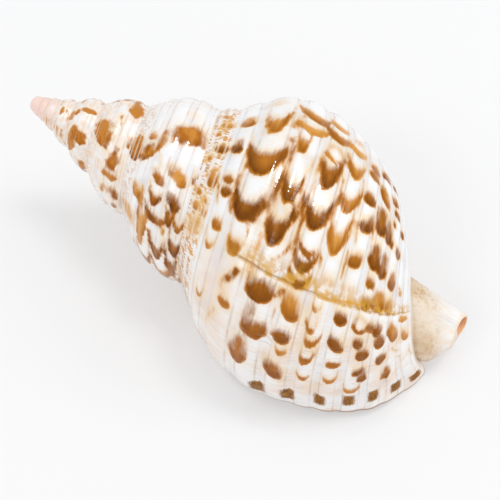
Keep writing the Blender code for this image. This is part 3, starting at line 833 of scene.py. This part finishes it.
def hollow_section(angle):
    """The hollow's outline in the plane through the axis at a turn angle, in mm."""
    size = math.exp(GROWTH * angle)
    wall = WALL * min(size, 1.0) ** WALL_THINNING
    ribs = np.linspace(*HOLLOW_OUTER_RIBS, HOLLOW_OUTER_POINTS)
    smooth = np.stack(whorl_point(angle, ribs, False), axis=-1)
    outer = inset(smooth, wall + lip_teeth(angle, ribs))
    pillar = size * np.array(PILLAR_SIDE[::-1])
    pillar[:2, 0] -= BASE_PULL * ease(*BASE_PULL_TURN, angle)
    last_whorl = angle - TURN
    inner = np.stack(whorl_point(last_whorl, np.array(HOLLOW_INNER_RIBS), False), axis=-1)
    inner = inset(inner, GLAZE * size)
    bends = np.concatenate((outer[-8:-7], outer[-1:], pillar, inner, outer[:1], outer[7:8]))
    share = np.linspace(0, 1, PILLAR_POINTS)
    inner_side = smooth_curve(bends, 1 + share * (len(bends) - 3))
    folds = 0.5 - 0.5 * np.cos(TURN * PILLAR_FOLDS * share)
    grown = ease(FOLDS_START, FOLDS_START + FOLDS_GROWN, angle)
    height = FOLD_HEIGHT * size * folds**FOLD_SHARPNESS * grown
    height = height * ease(*FOLDS_RISE, share) * (1 - ease(*FOLDS_FALL, share))
    inner_side = inset(inner_side, height)
    return np.concatenate((outer, inner_side[1:-1])), ribs, share


def loft(name, sections, growths, closing, finishes):
    """A closed solid through rings of points, with growth coordinates per cell side."""
    surface = Surface()
    count = len(sections[0])
    starts = [surface.add_points(section) for section in sections]
    for n in range(len(sections) - 1):
        for k in range(count):
            following = (k + 1) % count
            before, after, finish = growths[n][k], growths[n + 1][k], closing[k]
            surface.add_face(
                (starts[n] + k, starts[n] + following, starts[n + 1] + following, starts[n + 1] + k),
                (before[0], before[1], after[1], after[0]),
                finish,
            )
    for n in (0, len(sections) - 1):
        ring = [starts[n] + k for k in range(count)]
        surface.add_face(ring, [growths[n][k][0] for k in range(count)], closing[0])
    return surface.as_object(name, finishes)


def hollow_form(finishes):
    """The spiral room inside the whorls, running out past the mouth."""
    angles = np.concatenate((np.linspace(*HOLLOW_DEEP)[:-1], np.linspace(*HOLLOW_NEAR)))
    sections, growths = [], []
    for angle in angles:
        outline, ribs, share = hollow_section(angle)
        along, out = outline.T
        sections.append(at_rest(np.stack((along, out * np.cos(angle), out * np.sin(angle)), axis=-1)))
        outer_side = [((angle, a), (angle, b)) for a, b in zip(ribs, ribs[1:])]
        inner_side = [((angle, PILLAR_U + a), (angle, PILLAR_U + b)) for a, b in zip(share, share[1:])]
        growths.append(outer_side + inner_side)
    finish = [LINING_FINISH] * (HOLLOW_OUTER_POINTS - 1) + [PILLAR_FINISH] * (PILLAR_POINTS - 1)
    return loft("hollow", sections, growths, finish, finishes)


def groove_form(finishes):
    """The canal's open groove, from the mouth to past the tip."""
    middle_up = CANAL_DROP * math.cos(CANAL_DROP_ANGLE)
    middle_near = CANAL_DROP * math.sin(CANAL_DROP_ANGLE)
    sections, growths = [], []
    out = (math.cos(GROOVE_ANGLE), math.sin(GROOVE_ANGLE))
    for along, radius, slot in GROOVE_SECTIONS:
        reach = math.pi - math.asin(slot / radius)
        turns = np.linspace(-reach, reach, GROOVE_POINTS)
        outline = [(-radius * math.cos(turn), radius * math.sin(turn)) for turn in turns]
        outline += [(GROOVE_REACH, slot), (GROOVE_REACH, -slot)]
        section = [
            (along, middle_up + depth * out[0] - side * out[1], middle_near + depth * out[1] + side * out[0])
            for depth, side in outline
        ]
        sections.append(at_rest(section))
        growths.append([((LIP_ANGLE_CANAL, along / 10), (LIP_ANGLE_CANAL, along / 10))] * len(outline))
    return loft("canal_groove", sections, growths, [GROOVE_FINISH] * len(growths[0]), finishes)


def select_only(chosen):
    bpy.ops.object.select_all(action="DESELECT")
    chosen.select_set(True)
    bpy.context.view_layer.objects.active = chosen


def carve(body, cutter):
    """Cuts one closed form out of another."""
    select_only(body)
    cut = body.modifiers.new(cutter.name, "BOOLEAN")
    cut.operation = "DIFFERENCE"
    cut.solver = "MANIFOLD"
    cut.object = cutter
    bpy.ops.object.modifier_apply(modifier=cut.name)
    bpy.data.objects.remove(cutter, do_unlink=True)


def round_the_rim(body):
    """Softens the edge where the outside meets the lining, round the mouth."""
    mesh = bmesh.new()
    mesh.from_mesh(body.data)
    rim = set()
    for edge in mesh.edges:
        if len(edge.link_faces) == 2 and edge.calc_face_angle() > RIM_ANGLE:
            finishes = {face.material_index for face in edge.link_faces}
            if len(finishes) > 1 and GROOVE_FINISH not in finishes:
                rim.update(edge.verts)
    near = set(rim)
    for vertex in rim:
        near.update(edge.other_vert(vertex) for edge in vertex.link_edges)
    every_way = {"use_axis_x": True, "use_axis_y": True, "use_axis_z": True}
    for _ in range(RIM_ROUNDS):
        bmesh.ops.smooth_vert(mesh, verts=list(near), factor=0.5, **every_way)
    mesh.normal_update()
    for edge in mesh.edges:
        edge.smooth = edge.calc_face_angle(0.0) < CRISP_EDGE
    mesh.to_mesh(body.data)
    mesh.free()


def growth_of(data):
    """Turn angle in degrees and profile coordinate of every face corner."""
    coordinates = np.empty(len(data.loops) * 2, np.float32)
    data.uv_layers["growth"].data.foreach_get("uv", coordinates)
    return coordinates[::2] / DEG, coordinates[1::2].copy()


def in_read_span(angle):
    return any(start < angle < end for start, end in READ_SPANS)


def made_up_marks():
    """Marks for the sides that the photograph hides, in the manner of those that it shows."""
    draw = np.random.default_rng(MADE_UP_SEED)
    crescents, thin, soft, strokes = [], [], [], []
    start, stop = MADE_UP_TURNS
    for rib in range(1, LAST_RIB):
        first = FIRST_BODY_ROW * ROW_STEP / DEG if rib > SUTURE_RIB else start
        angle = first + draw.uniform(0, 20)
        while angle < stop:
            wide = draw.uniform(*(MADE_UP_WIDTHS if angle > SPIRE_ANGLE else MADE_UP_SPIRE_WIDTHS))
            tone = draw.uniform(*MADE_UP_TONES)
            upper, lower = rib + draw.uniform(*MADE_UP_TOPS), rib + draw.uniform(*MADE_UP_BOTTOMS)
            lean = draw.uniform(*MADE_UP_LEANS)
            kind = draw.uniform()
            if rib == int(SUTURE_RIB) and angle < COVERED_ANGLE:
                upper, lower = rib, SUTURE_RIB
            if angle < EARLY_ANGLE:
                wide, tone, kind = wide * 2.5, tone * 0.3, 0.6 + kind * 0.4
            mark = (angle, angle + wide, upper, lower, lean, tone)
            if not in_read_span(angle + wide / 2):
                chosen = crescents if kind < FULL_MARKS else thin if kind < FULL_OR_THIN_MARKS else soft
                chosen.append(mark)
                if kind < WITH_TAILS:
                    end = angle + wide * 0.6
                    tail = (end, lower - 0.1, end - 6, lower + 0.05, end - 13, lower + 0.1)
                    strokes.append((*tail, 1.3, 0.5, tone * 0.7))
            angle += wide + draw.uniform(*MADE_UP_GAPS) * (5 if angle < EARLY_ANGLE else 1)
    return crescents, thin, soft, strokes


def soft_least(first, second, sharpness=1.6):
    """The smaller of two fields, rounded where they cross."""
    return -np.logaddexp(-sharpness * first, -sharpness * second) / sharpness


def crescent_depth(kind, mark, angle, rib):
    """How deep, in grown mm, points lie inside a crescent, and how far back from its front edge."""
    start, end, upper, lower, lean, _ = mark
    half_along = (end - start) / 2 * MM_PER_DEGREE
    half_across = (lower - upper) / 2 * MM_PER_RIB
    across = (rib - (upper + lower) / 2) / ((lower - upper) / 2)
    along = (angle - (start + end) / 2 - lean * across / 2) / ((end - start) / 2)
    on_armed_turn = any(first < start < last for first, last in ARMED_TURNS)
    armed = kind == "full" and ARMED_RIBS[0] < upper < ARMED_RIBS[1] and on_armed_turn
    bows = ARMED_BOWS if armed else THIN_BOWS if kind == "thin" else PLAIN_BOWS
    front_bow, back_bow, back_start = bows
    front = (1.05 - front_bow * across**2 - along) * half_along
    back = (along - back_start + back_bow * across**2) * half_along
    steep = np.sqrt(1 + (2 * front_bow * across * half_along / half_across) ** 2)
    back_steep = np.sqrt(1 + (2 * back_bow * across * half_along / half_across) ** 2)
    ends = ((ARMED_REACH if armed else PLAIN_REACH) - np.abs(across)) * half_across
    depth = soft_least(soft_least(front / steep, back / back_steep), ends) + 0.4
    if kind == "ring":
        middle = (1 - np.hypot(along / 0.55, across / 0.5)) * min(half_along, half_across) * 0.55
        depth = soft_least(depth, -middle, 3.0)
    if kind == "soft":
        depth = depth * 0.6 - 0.4
    return depth, np.clip(front / steep / 5.0, 0, 1)


def stroke_depth(stroke, angle, rib):
    """How deep, in grown mm, points lie inside a curved, tapering stroke."""
    ends = np.array(stroke[:6], float).reshape(3, 2) * (MM_PER_DEGREE, MM_PER_RIB)
    place = np.stack((angle * MM_PER_DEGREE, rib * MM_PER_RIB), axis=-1)
    best = np.full(len(angle), -9.0)
    steps = np.linspace(0, 1, STROKE_STEPS + 1)[:, None]
    path = (1 - steps) ** 2 * ends[0] + 2 * steps * (1 - steps) * ends[1] + steps**2 * ends[2]
    for n, (start, end) in enumerate(zip(path, path[1:])):
        reach = end - start
        share = np.clip((place - start) @ reach / (reach @ reach), 0, 1)
        away = np.linalg.norm(place - start - share[:, None] * reach, axis=1)
        width = stroke[6] + (stroke[7] - stroke[6]) * (n + share) / STROKE_STEPS
        best = np.maximum(best, width - away)
    return best


def paint_marks(data):
    """Stores on the face corners how deep they lie in a mark, its tone, and how it fades back."""
    angle, rib = growth_of(data)
    depth = np.full(len(angle), -6.0)
    tone = np.zeros(len(angle))
    fade = np.zeros(len(angle))
    weight = np.full(len(angle), 1e-9)
    order = np.argsort(angle)
    sorted_angle = angle[order]

    def corners_near(start, end, upper, lower):
        low, high = np.searchsorted(sorted_angle, (start - MARGIN_ALONG, end + MARGIN_ALONG))
        near = order[low:high]
        return near[(rib[near] > upper - MARGIN_ACROSS) & (rib[near] < lower + MARGIN_ACROSS)]

    def lay(near, inside, mark_tone, back):
        depth[near] = np.maximum(depth[near], inside)
        pull = np.exp(np.clip(inside, -6, 1.5) * 2.2)
        tone[near] += pull * mark_tone
        fade[near] += pull * back
        weight[near] += pull

    crescents, thin, soft, strokes = made_up_marks()
    kinds = (
        ("full", (*CRESCENTS, *BAND_FLECKS, *EARLY_CRESCENTS, *crescents)),
        ("thin", (*THIN_CRESCENTS, *thin)),
        ("ring", RINGS),
        ("soft", (*SOFT_MARKS, *EARLY_SOFT_MARKS, *soft)),
    )
    for kind, marks in kinds:
        for mark in marks:
            spread = abs(mark[4]) / 2
            near = corners_near(mark[0] - spread, mark[1] + spread, mark[2], mark[3])
            inside, back = crescent_depth(kind, mark, angle[near], rib[near])
            lay(near, inside, mark[5], 1.0 if kind == "soft" else back)
    for stroke in (*STROKES, *strokes):
        angles, ribs = stroke[0:6:2], stroke[1:6:2]
        near = corners_near(min(angles), max(angles), min(ribs), max(ribs))
        lay(near, stroke_depth(stroke, angle[near], rib[near]), stroke[8], 0.3)

    to_lip = angle - lip_angle(rib) / DEG
    square = np.full(len(angle), -5.0)
    for middle in LIP_SQUARES:
        ends = (LIP_SQUARE_HALF - np.abs(rib - middle)) * MM_PER_RIB
        back_edge = LIP_SQUARE_ARC[0] - LIP_SQUARE_STRETCH * max(0.0, 1 - middle / 6.0)
        sides = np.minimum(to_lip - back_edge, LIP_SQUARE_ARC[1] - to_lip) * MM_PER_DEGREE
        square = np.maximum(square, soft_least(ends, sides))
    fields = {
        "mark_depth": depth,
        "mark_tone": tone / weight,
        "mark_fade": fade / weight,
        "lip_square": square,
        "to_lip": to_lip,
    }
    for name, values in fields.items():
        made = data.attributes.new(name, "FLOAT", "CORNER")
        made.data.foreach_set("value", values.astype(np.float32))


def add(tree, kind, inputs=None, **settings):
    """A node with its settings and inputs; a socket among the inputs is linked."""
    made = tree.nodes.new(kind)
    for name, value in settings.items():
        setattr(made, name, value)
    for name, value in (inputs or {}).items():
        if isinstance(value, bpy.types.NodeSocket):
            tree.links.new(value, made.inputs[name])
        else:
            made.inputs[name].default_value = value
    return made


def calc(tree, operation, *values):
    return add(tree, "ShaderNodeMath", dict(enumerate(values)), operation=operation).outputs[0]


def product(tree, first, *others):
    """Masks or amounts multiplied together."""
    for other in others:
        first = calc(tree, "MULTIPLY", first, other)
    return first


def total(tree, first, *others):
    """Amounts added up."""
    for other in others:
        first = calc(tree, "ADD", first, other)
    return first


def mixed(tree, share, first, second):
    inputs = {0: share, 6: first, 7: second}
    return add(tree, "ShaderNodeMix", inputs, data_type="RGBA").outputs[2]


def rise(tree, value, low, high, start=0.0, end=1.0):
    inputs = {"Value": value, "From Min": low, "From Max": high, "To Min": start, "To Max": end}
    return add(tree, "ShaderNodeMapRange", inputs, interpolation_type="SMOOTHSTEP").outputs[0]


def attribute(tree, name):
    return add(tree, "ShaderNodeAttribute", attribute_name=name).outputs["Fac"]


def growth_place(tree):
    """Turn angle and profile coordinate, from the growth map."""
    growth = add(tree, "ShaderNodeUVMap", uv_map="growth").outputs[0]
    split = add(tree, "ShaderNodeSeparateXYZ", {0: growth})
    return split.outputs[0], split.outputs[1]


def grown_noise_group():
    """Noise that grows with the shell, built once for all the finishes."""
    group = bpy.data.node_groups.get("grown_noise")
    if group:
        return group
    group = bpy.data.node_groups.new("grown_noise", "ShaderNodeTree")
    for name in NOISE_INPUTS:
        group.interface.new_socket(name, in_out="INPUT", socket_type="NodeSocketFloat")
    group.interface.new_socket("Noise", in_out="OUTPUT", socket_type="NodeSocketFloat")
    given = group.nodes.new("NodeGroupInput").outputs
    along = calc(group, "MULTIPLY", given["Turn angle"], given["Along"])
    across = calc(group, "MULTIPLY", given["Rib"], given["Across"])
    inputs = {name: given[name] for name in ("Scale", "Detail", "Roughness")}
    inputs["Vector"] = add(group, "ShaderNodeCombineXYZ", {0: along, 1: across}).outputs[0]
    noise = add(group, "ShaderNodeTexNoise", inputs).outputs[0]
    add(group, "NodeGroupOutput", {"Noise": noise})
    return group


def grown_noise(tree, angle, rib, settings):
    """The growing noise with a finish's own stretch along and across the ribs."""
    along, across, *rest = settings
    values = (angle, rib, NOISE_PER_RADIAN * along, NOISE_PER_RIB * across, *rest)
    inputs = dict(zip(NOISE_INPUTS, values))
    return add(tree, "ShaderNodeGroup", inputs, node_tree=grown_noise_group()).outputs[0]


def still_noise(tree, place, scale, detail):
    """Noise of one size all over, as a value and as a colour."""
    inputs = {"Vector": place, "Scale": scale, "Detail": detail}
    outputs = add(tree, "ShaderNodeTexNoise", inputs).outputs
    return outputs[0], outputs["Color"]


def ramp(tree, value, stops):
    made = add(tree, "ShaderNodeValToRGB", {0: value})
    while len(made.color_ramp.elements) < len(stops):
        made.color_ramp.elements.new(0.5)
    for element, (position, colour) in zip(made.color_ramp.elements, stops):
        element.position = position
        element.color = colour
    return made.outputs[0]


def new_finish(name):
    material = bpy.data.materials.new(name)
    material.use_nodes = True
    tree = material.node_tree
    return material, tree, tree.nodes["Principled BSDF"]


class Porcelain:
    """The outside's layers of colour, and the places, noises and masks that they share."""

    def __init__(self, tree):
        self.tree = tree
        self.angle, self.rib = growth_place(tree)
        self.to_lip = attribute(tree, "to_lip")
        self.clouds = self.noise(CLOUD_NOISE)
        self.shade = self.noise(SHADE_NOISE)
        self.specks = self.noise(SPECK_NOISE)
        self.wrinkles = self.noise(WRINKLE_NOISE)
        self.lines = self.noise(GROWTH_LINE_NOISE)
        self.cords = calc(tree, "COSINE", self.times(self.rib, TURN * CORDS))
        self.off_groove = self.distance(self.rib, calc(tree, "ROUND", self.rib))
        self.ribbed = self.times(self.over(self.rib, RIBS_RISE), self.over(self.rib, RIBS_FALL[::-1]))
        self.band = self.times(self.over(self.rib, BAND_RIBS), self.by_turn(BAND_TURNS))

    def noise(self, settings):
        return grown_noise(self.tree, self.angle, self.rib, settings)

    def centred(self, noise):
        """A noise shifted to reach equally far above and below 0."""
        return calc(self.tree, "SUBTRACT", noise, 0.5)

    def distance(self, first, second):
        return calc(self.tree, "ABSOLUTE", calc(self.tree, "SUBTRACT", first, second))

    def times(self, *values):
        return product(self.tree, *values)

    def plus(self, *values):
        return total(self.tree, *values)

    def over(self, value, span):
        """A smooth rise or fall over a span of a value."""
        return rise(self.tree, value, *span)

    def by_turn(self, span):
        """A smooth rise or fall over a span of turn angles in degrees."""
        low, high, *amounts = span
        return rise(self.tree, self.angle, low * DEG, high * DEG, *amounts)

    def layer(self, under, mask, colour):
        return mixed(self.tree, mask, under, colour)

    def ground(self):
        """White with lilac and cream clouds and painted lilac shade in the grooves, warmer on the spire, by
        the lip and on the canal.
        """
        colour = self.layer(GROUND_WHITE, self.over(self.shade, LILAC_CLOUDS), LILAC_CLOUD_AND_SHADE)
        # Painted shade: lilac in the grooves between the ribs, less on the spire and by the lip.
        painted_groove_shade = self.times(self.over(self.off_groove, PAINTED_GROOVE_SHADE), self.ribbed)
        painted_groove_shade = self.times(painted_groove_shade, self.by_turn(PAINTED_GROOVE_SHADE_SPIRE_TURNS), self.by_turn(PAINTED_GROOVE_SHADE_LIP_TURNS))
        colour = self.layer(colour, painted_groove_shade, LILAC_CLOUD_AND_SHADE)
        colour = self.layer(colour, self.over(self.clouds, CREAM_CLOUDS), GROUND_CREAM)
        by_lip = self.times(self.by_turn(PEACH_TURNS), self.over(self.shade, PEACH_CLOUDS))
        colour = self.layer(colour, by_lip, GROUND_PEACH)
        spire = self.times(self.by_turn(SPIRE_TURNS), self.over(self.clouds, SPIRE_CLOUDS))
        colour = self.layer(colour, spire, SPIRE_CREAM)
        colour = self.layer(colour, self.by_turn(TIP_TURNS), TIP_PINK)
        canal = self.times(self.over(self.rib, CANAL_RIBS), self.over(self.rib, CANAL_END_RIBS))
        return self.layer(colour, canal, CANAL_CREAM)

    def suture_band(self, colour):
        """Tan wrinkles, brown dashes along the cords and orange specks below the suture."""
        colour = self.layer(colour, self.times(self.band, BAND_CREAM), SPIRE_CREAM)
        wrinkled = self.times(self.band, self.over(self.wrinkles, BAND_WRINKLES))
        colour = self.layer(colour, wrinkled, BAND_TAN)
        dashed = self.times(self.band, self.over(self.noise(DASH_NOISE), BAND_DASHES))
        colour = self.layer(colour, self.times(dashed, self.over(self.cords, DASHED_CORDS)), BAND_BROWN)
        speckled = self.times(self.band, self.over(self.specks, BAND_SPECKS))
        return self.layer(colour, speckled, ORANGE)

    def marks(self, colour):
        """Brown crescents with ragged edges and streaked backs, each in a pale orange halo."""
        tone = attribute(self.tree, "mark_tone")
        fade = attribute(self.tree, "mark_fade")
        streaks = self.centred(self.noise(STREAK_NOISE))
        lumps = self.times(self.centred(self.noise(LUMP_NOISE)), self.by_turn(LUMP_TURNS))
        ragged = self.times(self.centred(self.noise(RAGGED_NOISE)), self.by_turn(RAGGED_TURNS))
        depth = attribute(self.tree, "mark_depth")
        edge = self.plus(depth, lumps, ragged, self.times(fade, streaks, STREAK_REACH))
        blur = self.plus(MARK_BLUR, self.times(fade, FADED_BLUR), self.by_turn(BLUR_TURNS))
        mark = self.over(calc(self.tree, "DIVIDE", self.plus(edge, MARK_SPREAD), blur), (0.0, 1.0))
        between_cords = self.times(self.over(self.cords, CORD_GAPS), self.over(self.rib, CORD_RIBS))
        lost = self.times(between_cords, CORD_GAP_LOSS)
        mark = self.times(mark, calc(self.tree, "SUBTRACT", 1.0, lost))

        warm = self.times(self.by_turn(HALO_TURNS), self.by_turn(HALO_LIP_TURNS))
        warm = self.times(warm, self.over(self.shade, HALO_CLOUDS))
        colour = self.layer(colour, self.times(self.over(edge, HALO_DEPTH), warm), PALE_ORANGE)
        line = self.times(self.over(self.distance(self.off_groove, LINE_AT), LINE_BLUR), self.ribbed)
        colour = self.layer(colour, self.times(line, self.over(self.clouds, LINE_CLOUDS)), LINE_BROWN)
        paler = self.times(fade, FADE_PALER)
        darkness = calc(self.tree, "SUBTRACT", self.times(tone, self.over(edge, CORE_DEPTH)), paler)
        patchy = self.times(self.centred(self.clouds), self.by_turn(PATCHY_TURNS))
        darkness = self.plus(darkness, self.times(streaks, STREAK_DARKER), patchy)
        darkness = self.plus(darkness, self.by_turn(DARKER_SPIRE_TURNS), self.by_turn(DARKER_LIP_TURNS))
        redder = self.plus(self.by_turn(REDDER_SPIRE_TURNS), self.by_turn(REDDER_LIP_TURNS))
        brown = self.layer(ramp(self.tree, darkness, MARK_RAMP), redder, RED_BROWN)
        return self.layer(colour, mark, brown)

    def growth_break(self, colour):
        """The yellow stain before the growth break and the thin brown line along its step."""
        bowed = calc(self.tree, "POWER", self.over(self.rib, (BREAK_BACK_END, 0.0)), BREAK_BACK_BOW)
        swept = self.plus(BREAK_ANGLE, self.times(bowed, BREAK_BACK_SWEEP))
        past_break = calc(self.tree, "SUBTRACT", self.angle, swept)
        stain = self.times(self.over(past_break, STAIN_START), self.over(past_break, STAIN_STOP), self.ribbed)
        stain = self.times(stain, self.over(self.specks, STAIN_SPECKS), self.over(self.rib, STAIN_RIBS))
        colour = self.layer(colour, stain, STAIN_YELLOW)
        line = self.over(self.distance(past_break, STEP_LINE_AT), STEP_LINE_BLUR)
        line = self.times(line, self.over(self.rib, STEP_LINE_RIBS), self.over(self.clouds, STEP_LINE_CLOUDS))
        return self.layer(colour, self.times(line, self.ribbed), BREAK_BROWN)

    def lip(self, colour):
        """Striped brown squares along the lip and a thin brown line on its edge."""
        stripes = self.noise(STRIPE_NOISE)
        square = attribute(self.tree, "lip_square")
        square = self.plus(square, self.times(self.centred(stripes), SQUARE_RAGGED))
        tooth = self.layer(TOOTH_DARK, self.over(stripes, TOOTH_STRIPES), TOOTH_LIGHT)
        colour = self.layer(colour, self.over(square, SQUARE_DEPTH), tooth)
        rim = self.times(self.over(self.to_lip, RIM_REACH), self.over(self.rib, RIM_RIBS))
        return self.layer(colour, rim, RIM_BROWN)

    def canal(self, colour):
        """A golden network over the canal, a blot at its foot and its pale end."""
        spot = add(self.tree, "ShaderNodeTexCoord").outputs["Object"]
        waver = still_noise(self.tree, spot, WAVER_SCALE, 2.0)[1]
        waver = add(self.tree, "ShaderNodeVectorMath", {0: waver, 1: WAVER_REACH}, operation="MULTIPLY")
        inputs = {0: waver.outputs[0], 1: spot}
        wavered = add(self.tree, "ShaderNodeVectorMath", inputs, operation="ADD").outputs[0]
        inputs = {"Vector": wavered, "Scale": NETWORK_SCALE}
        cells = add(self.tree, "ShaderNodeTexVoronoi", inputs, feature="DISTANCE_TO_EDGE")
        threads = self.over(cells.outputs["Distance"], NETWORK_THREADS)
        drifts = still_noise(self.tree, spot, DRIFT_SCALE, 2.0)[0]
        golden = self.times(self.over(self.rib, NETWORK_RISE), self.over(self.rib, NETWORK_FALL))
        golden = self.times(golden, self.over(drifts, NETWORK_DRIFTS))
        golden = self.times(golden, self.plus(NETWORK_LEAST, self.times(threads, NETWORK_MORE)))
        colour = self.layer(colour, golden, CANAL_BROWN)
        blot = self.times(self.by_turn(BLOT_RISE_TURNS), self.by_turn(BLOT_FALL_TURNS))
        blot = self.times(blot, self.over(self.rib, BLOT_RISE_RIBS), self.over(self.rib, BLOT_FALL_RIBS))
        colour = self.layer(colour, self.times(blot, self.over(drifts, BLOT_DRIFTS)), CANAL_BROWN)
        return self.layer(colour, self.over(self.rib, CANAL_RIM_RIBS), CANAL_RIM)

    def growth_lines(self, colour):
        """Fine lines side by side along the whole lip."""
        drawn = self.times(self.over(self.to_lip, BY_LIP), self.over(self.lines, DRAWN_LINES))
        return self.layer(colour, drawn, GROWTH_LINE)

    def shine(self):
        """Less on the squares and by the lip."""
        shine = self.over(attribute(self.tree, "lip_square"), (*SQUARE_DEPTH, SHINE, SQUARE_SHINE))
        return self.times(shine, self.over(self.to_lip, (*BY_LIP, 1.0, LIP_SHINE)))

    def relief(self):
        """Growth lines, the wrinkles of the band and faint steps of growth."""
        wrinkles = self.times(self.wrinkles, self.band)
        height = self.plus(self.times(self.lines, LINE_RELIEF), wrinkles, self.noise(STEP_NOISE))
        inputs = {"Height": height, "Distance": RELIEF_HEIGHT, "Strength": RELIEF_STRENGTH}
        return add(self.tree, "ShaderNodeBump", inputs).outputs[0]


def porcelain():
    """The outside: glossy white with brown crescents, cream and lilac clouds, painted lilac shade in the
    grooves, and growth lines.
    """
    material, tree, shader = new_finish("shell_porcelain")
    outside = Porcelain(tree)
    colour = outside.ground()
    colour = outside.suture_band(colour)
    colour = outside.marks(colour)
    colour = outside.growth_break(colour)
    colour = outside.lip(colour)
    colour = outside.canal(colour)
    colour = outside.growth_lines(colour)
    shader.inputs["Roughness"].default_value = PORCELAIN_ROUGHNESS
    shader.inputs["Specular IOR Level"].default_value = SHINE
    tree.links.new(outside.shine(), shader.inputs["Specular IOR Level"])
    tree.links.new(colour, shader.inputs["Base Color"])
    tree.links.new(outside.relief(), shader.inputs["Normal"])
    return material


def set_glaze(shader):
    shader.inputs["Roughness"].default_value = GLAZE_ROUGHNESS
    shader.inputs["Coat Weight"].default_value = GLAZE_COAT
    shader.inputs["Coat Roughness"].default_value = GLAZE_COAT_ROUGHNESS


def lining():
    """Inside the lip: clouded orange glaze, paler further in."""
    material, tree, shader = new_finish("mouth_lining")
    angle, rib = growth_place(tree)
    by_lip = rise(tree, attribute(tree, "to_lip"), *LINING_TO_LIP)
    colour = mixed(tree, by_lip, LINING_CREAM, LINING_ORANGE)
    clouds = rise(tree, grown_noise(tree, angle, rib, LINING_NOISE), *LINING_CLOUDS)
    colour = mixed(tree, clouds, colour, LINING_PALE_ORANGE)
    set_glaze(shader)
    tree.links.new(colour, shader.inputs["Base Color"])
    return material


def pillar():
    """The pillar and the wall beside it: dark brown between white folds."""
    material, tree, shader = new_finish("pillar_folds")
    angle, rib = growth_place(tree)
    folds = calc(tree, "COSINE", product(tree, rib, TURN * PILLAR_FOLDS))
    wobble = product(tree, grown_noise(tree, angle, rib, FOLD_NOISE), FOLD_WOBBLE)
    white = rise(tree, total(tree, folds, wobble), *WHITE_FOLDS)
    between = mixed(tree, rise(tree, angle, *PILLAR_DARK_TURN), PILLAR_ORANGE, PILLAR_BROWN)
    colour = mixed(tree, white, between, PILLAR_WHITE)
    set_glaze(shader)
    tree.links.new(colour, shader.inputs["Base Color"])
    return material


def canal_lining():
    """The canal's groove: pale orange glaze."""
    material, tree, shader = new_finish("canal_lining")
    place = add(tree, "ShaderNodeTexCoord").outputs["Object"]
    clouds = rise(tree, still_noise(tree, place, CANAL_CLOUD_SCALE, 3.0)[0], *CANAL_CLOUDS)
    colour = mixed(tree, clouds, CANAL_ORANGE, CANAL_PALE_ORANGE)
    shader.inputs["Roughness"].default_value = CANAL_ROUGHNESS
    tree.links.new(colour, shader.inputs["Base Color"])
    return material


def make_shell():
    finishes = [porcelain(), lining(), pillar(), canal_lining()]
    shell = outer_form(finishes)
    carve(shell, hollow_form(finishes))
    carve(shell, groove_form(finishes))
    round_the_rim(shell)
    paint_marks(shell.data)
    shell.name = "triton_shell"
    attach(shell, "root")
    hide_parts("shell")


def make_camera():
    """The photograph's angle of view."""
    axis, up = np.array(AXIS_IN_VIEW), np.array(UP_IN_VIEW)
    near = np.cross(axis, up)
    right, down, away = turned_to_rest(np.stack((axis, up, near), axis=-1))
    offset = (np.array(AXIS_START_PIXEL) - PICTURE_CENTRE) * MM_PER_PIXEL
    place = np.array(AXIS_START) - offset[0] * right - offset[1] * down - VIEW_DISTANCE * away
    camera = bpy.data.objects.new("camera", bpy.data.cameras.new("camera"))
    camera.data.sensor_width = SENSOR
    camera.data.lens = LENS
    camera.data.clip_end = FARTHEST_SEEN
    turn = Matrix((right, -down, -away)).transposed().to_4x4()
    camera.matrix_world = Matrix.Translation(Vector(place * MM)) @ turn
    bpy.context.scene.collection.objects.link(camera)
    bpy.context.scene.camera = camera


def make_floor():
    bpy.ops.object.select_all(action="DESELECT")
    bpy.ops.mesh.primitive_plane_add(size=FLOOR_SIZE, location=(0.0, 0.0, 0.0))
    floor = bpy.context.active_object
    floor.name = "floor"
    material, _, shader = new_finish("floor_paper")
    shader.inputs["Base Color"].default_value = FLOOR_GREY
    shader.inputs["Roughness"].default_value = FLOOR_ROUGHNESS
    shader.inputs["Emission Color"].default_value = FLOOR_LIGHT
    shader.inputs["Emission Strength"].default_value = FLOOR_GLOW
    floor.data.materials.append(material)


def add_lamp(name, place, size, power, target):
    lamp = bpy.data.lights.new(name, "AREA")
    lamp.shape = "RECTANGLE"
    lamp.size, lamp.size_y = size
    lamp.energy = power
    made = bpy.data.objects.new(name, lamp)
    made.location = place
    toward = Vector(target) - Vector(place)
    made.rotation_euler = toward.to_track_quat("-Z", "Y").to_euler()
    bpy.context.scene.collection.objects.link(made)
    return made


def make_light():
    scene = bpy.context.scene
    world = bpy.data.worlds.new("studio")
    world.use_nodes = True
    tree = world.node_tree
    background = tree.nodes["Background"]
    background.inputs["Color"].default_value = WORLD_WHITE
    glossy = tree.nodes.new("ShaderNodeLightPath").outputs["Is Glossy Ray"]
    strength = rise(tree, glossy, 0.0, 1.0, WORLD_STRENGTH, REFLECTED_STRENGTH)
    tree.links.new(strength, background.inputs["Strength"])
    scene.world = world
    for softbox in SOFTBOXES:
        add_lamp(*softbox, SOFTBOX_TARGET)
    bare_lamp = add_lamp(*BARE_LAMP, BARE_LAMP_TARGET)
    bare_lamp.visible_diffuse = False
    scene.view_settings.view_transform = "Standard"


make_shell()
make_camera()
make_floor()
make_light()
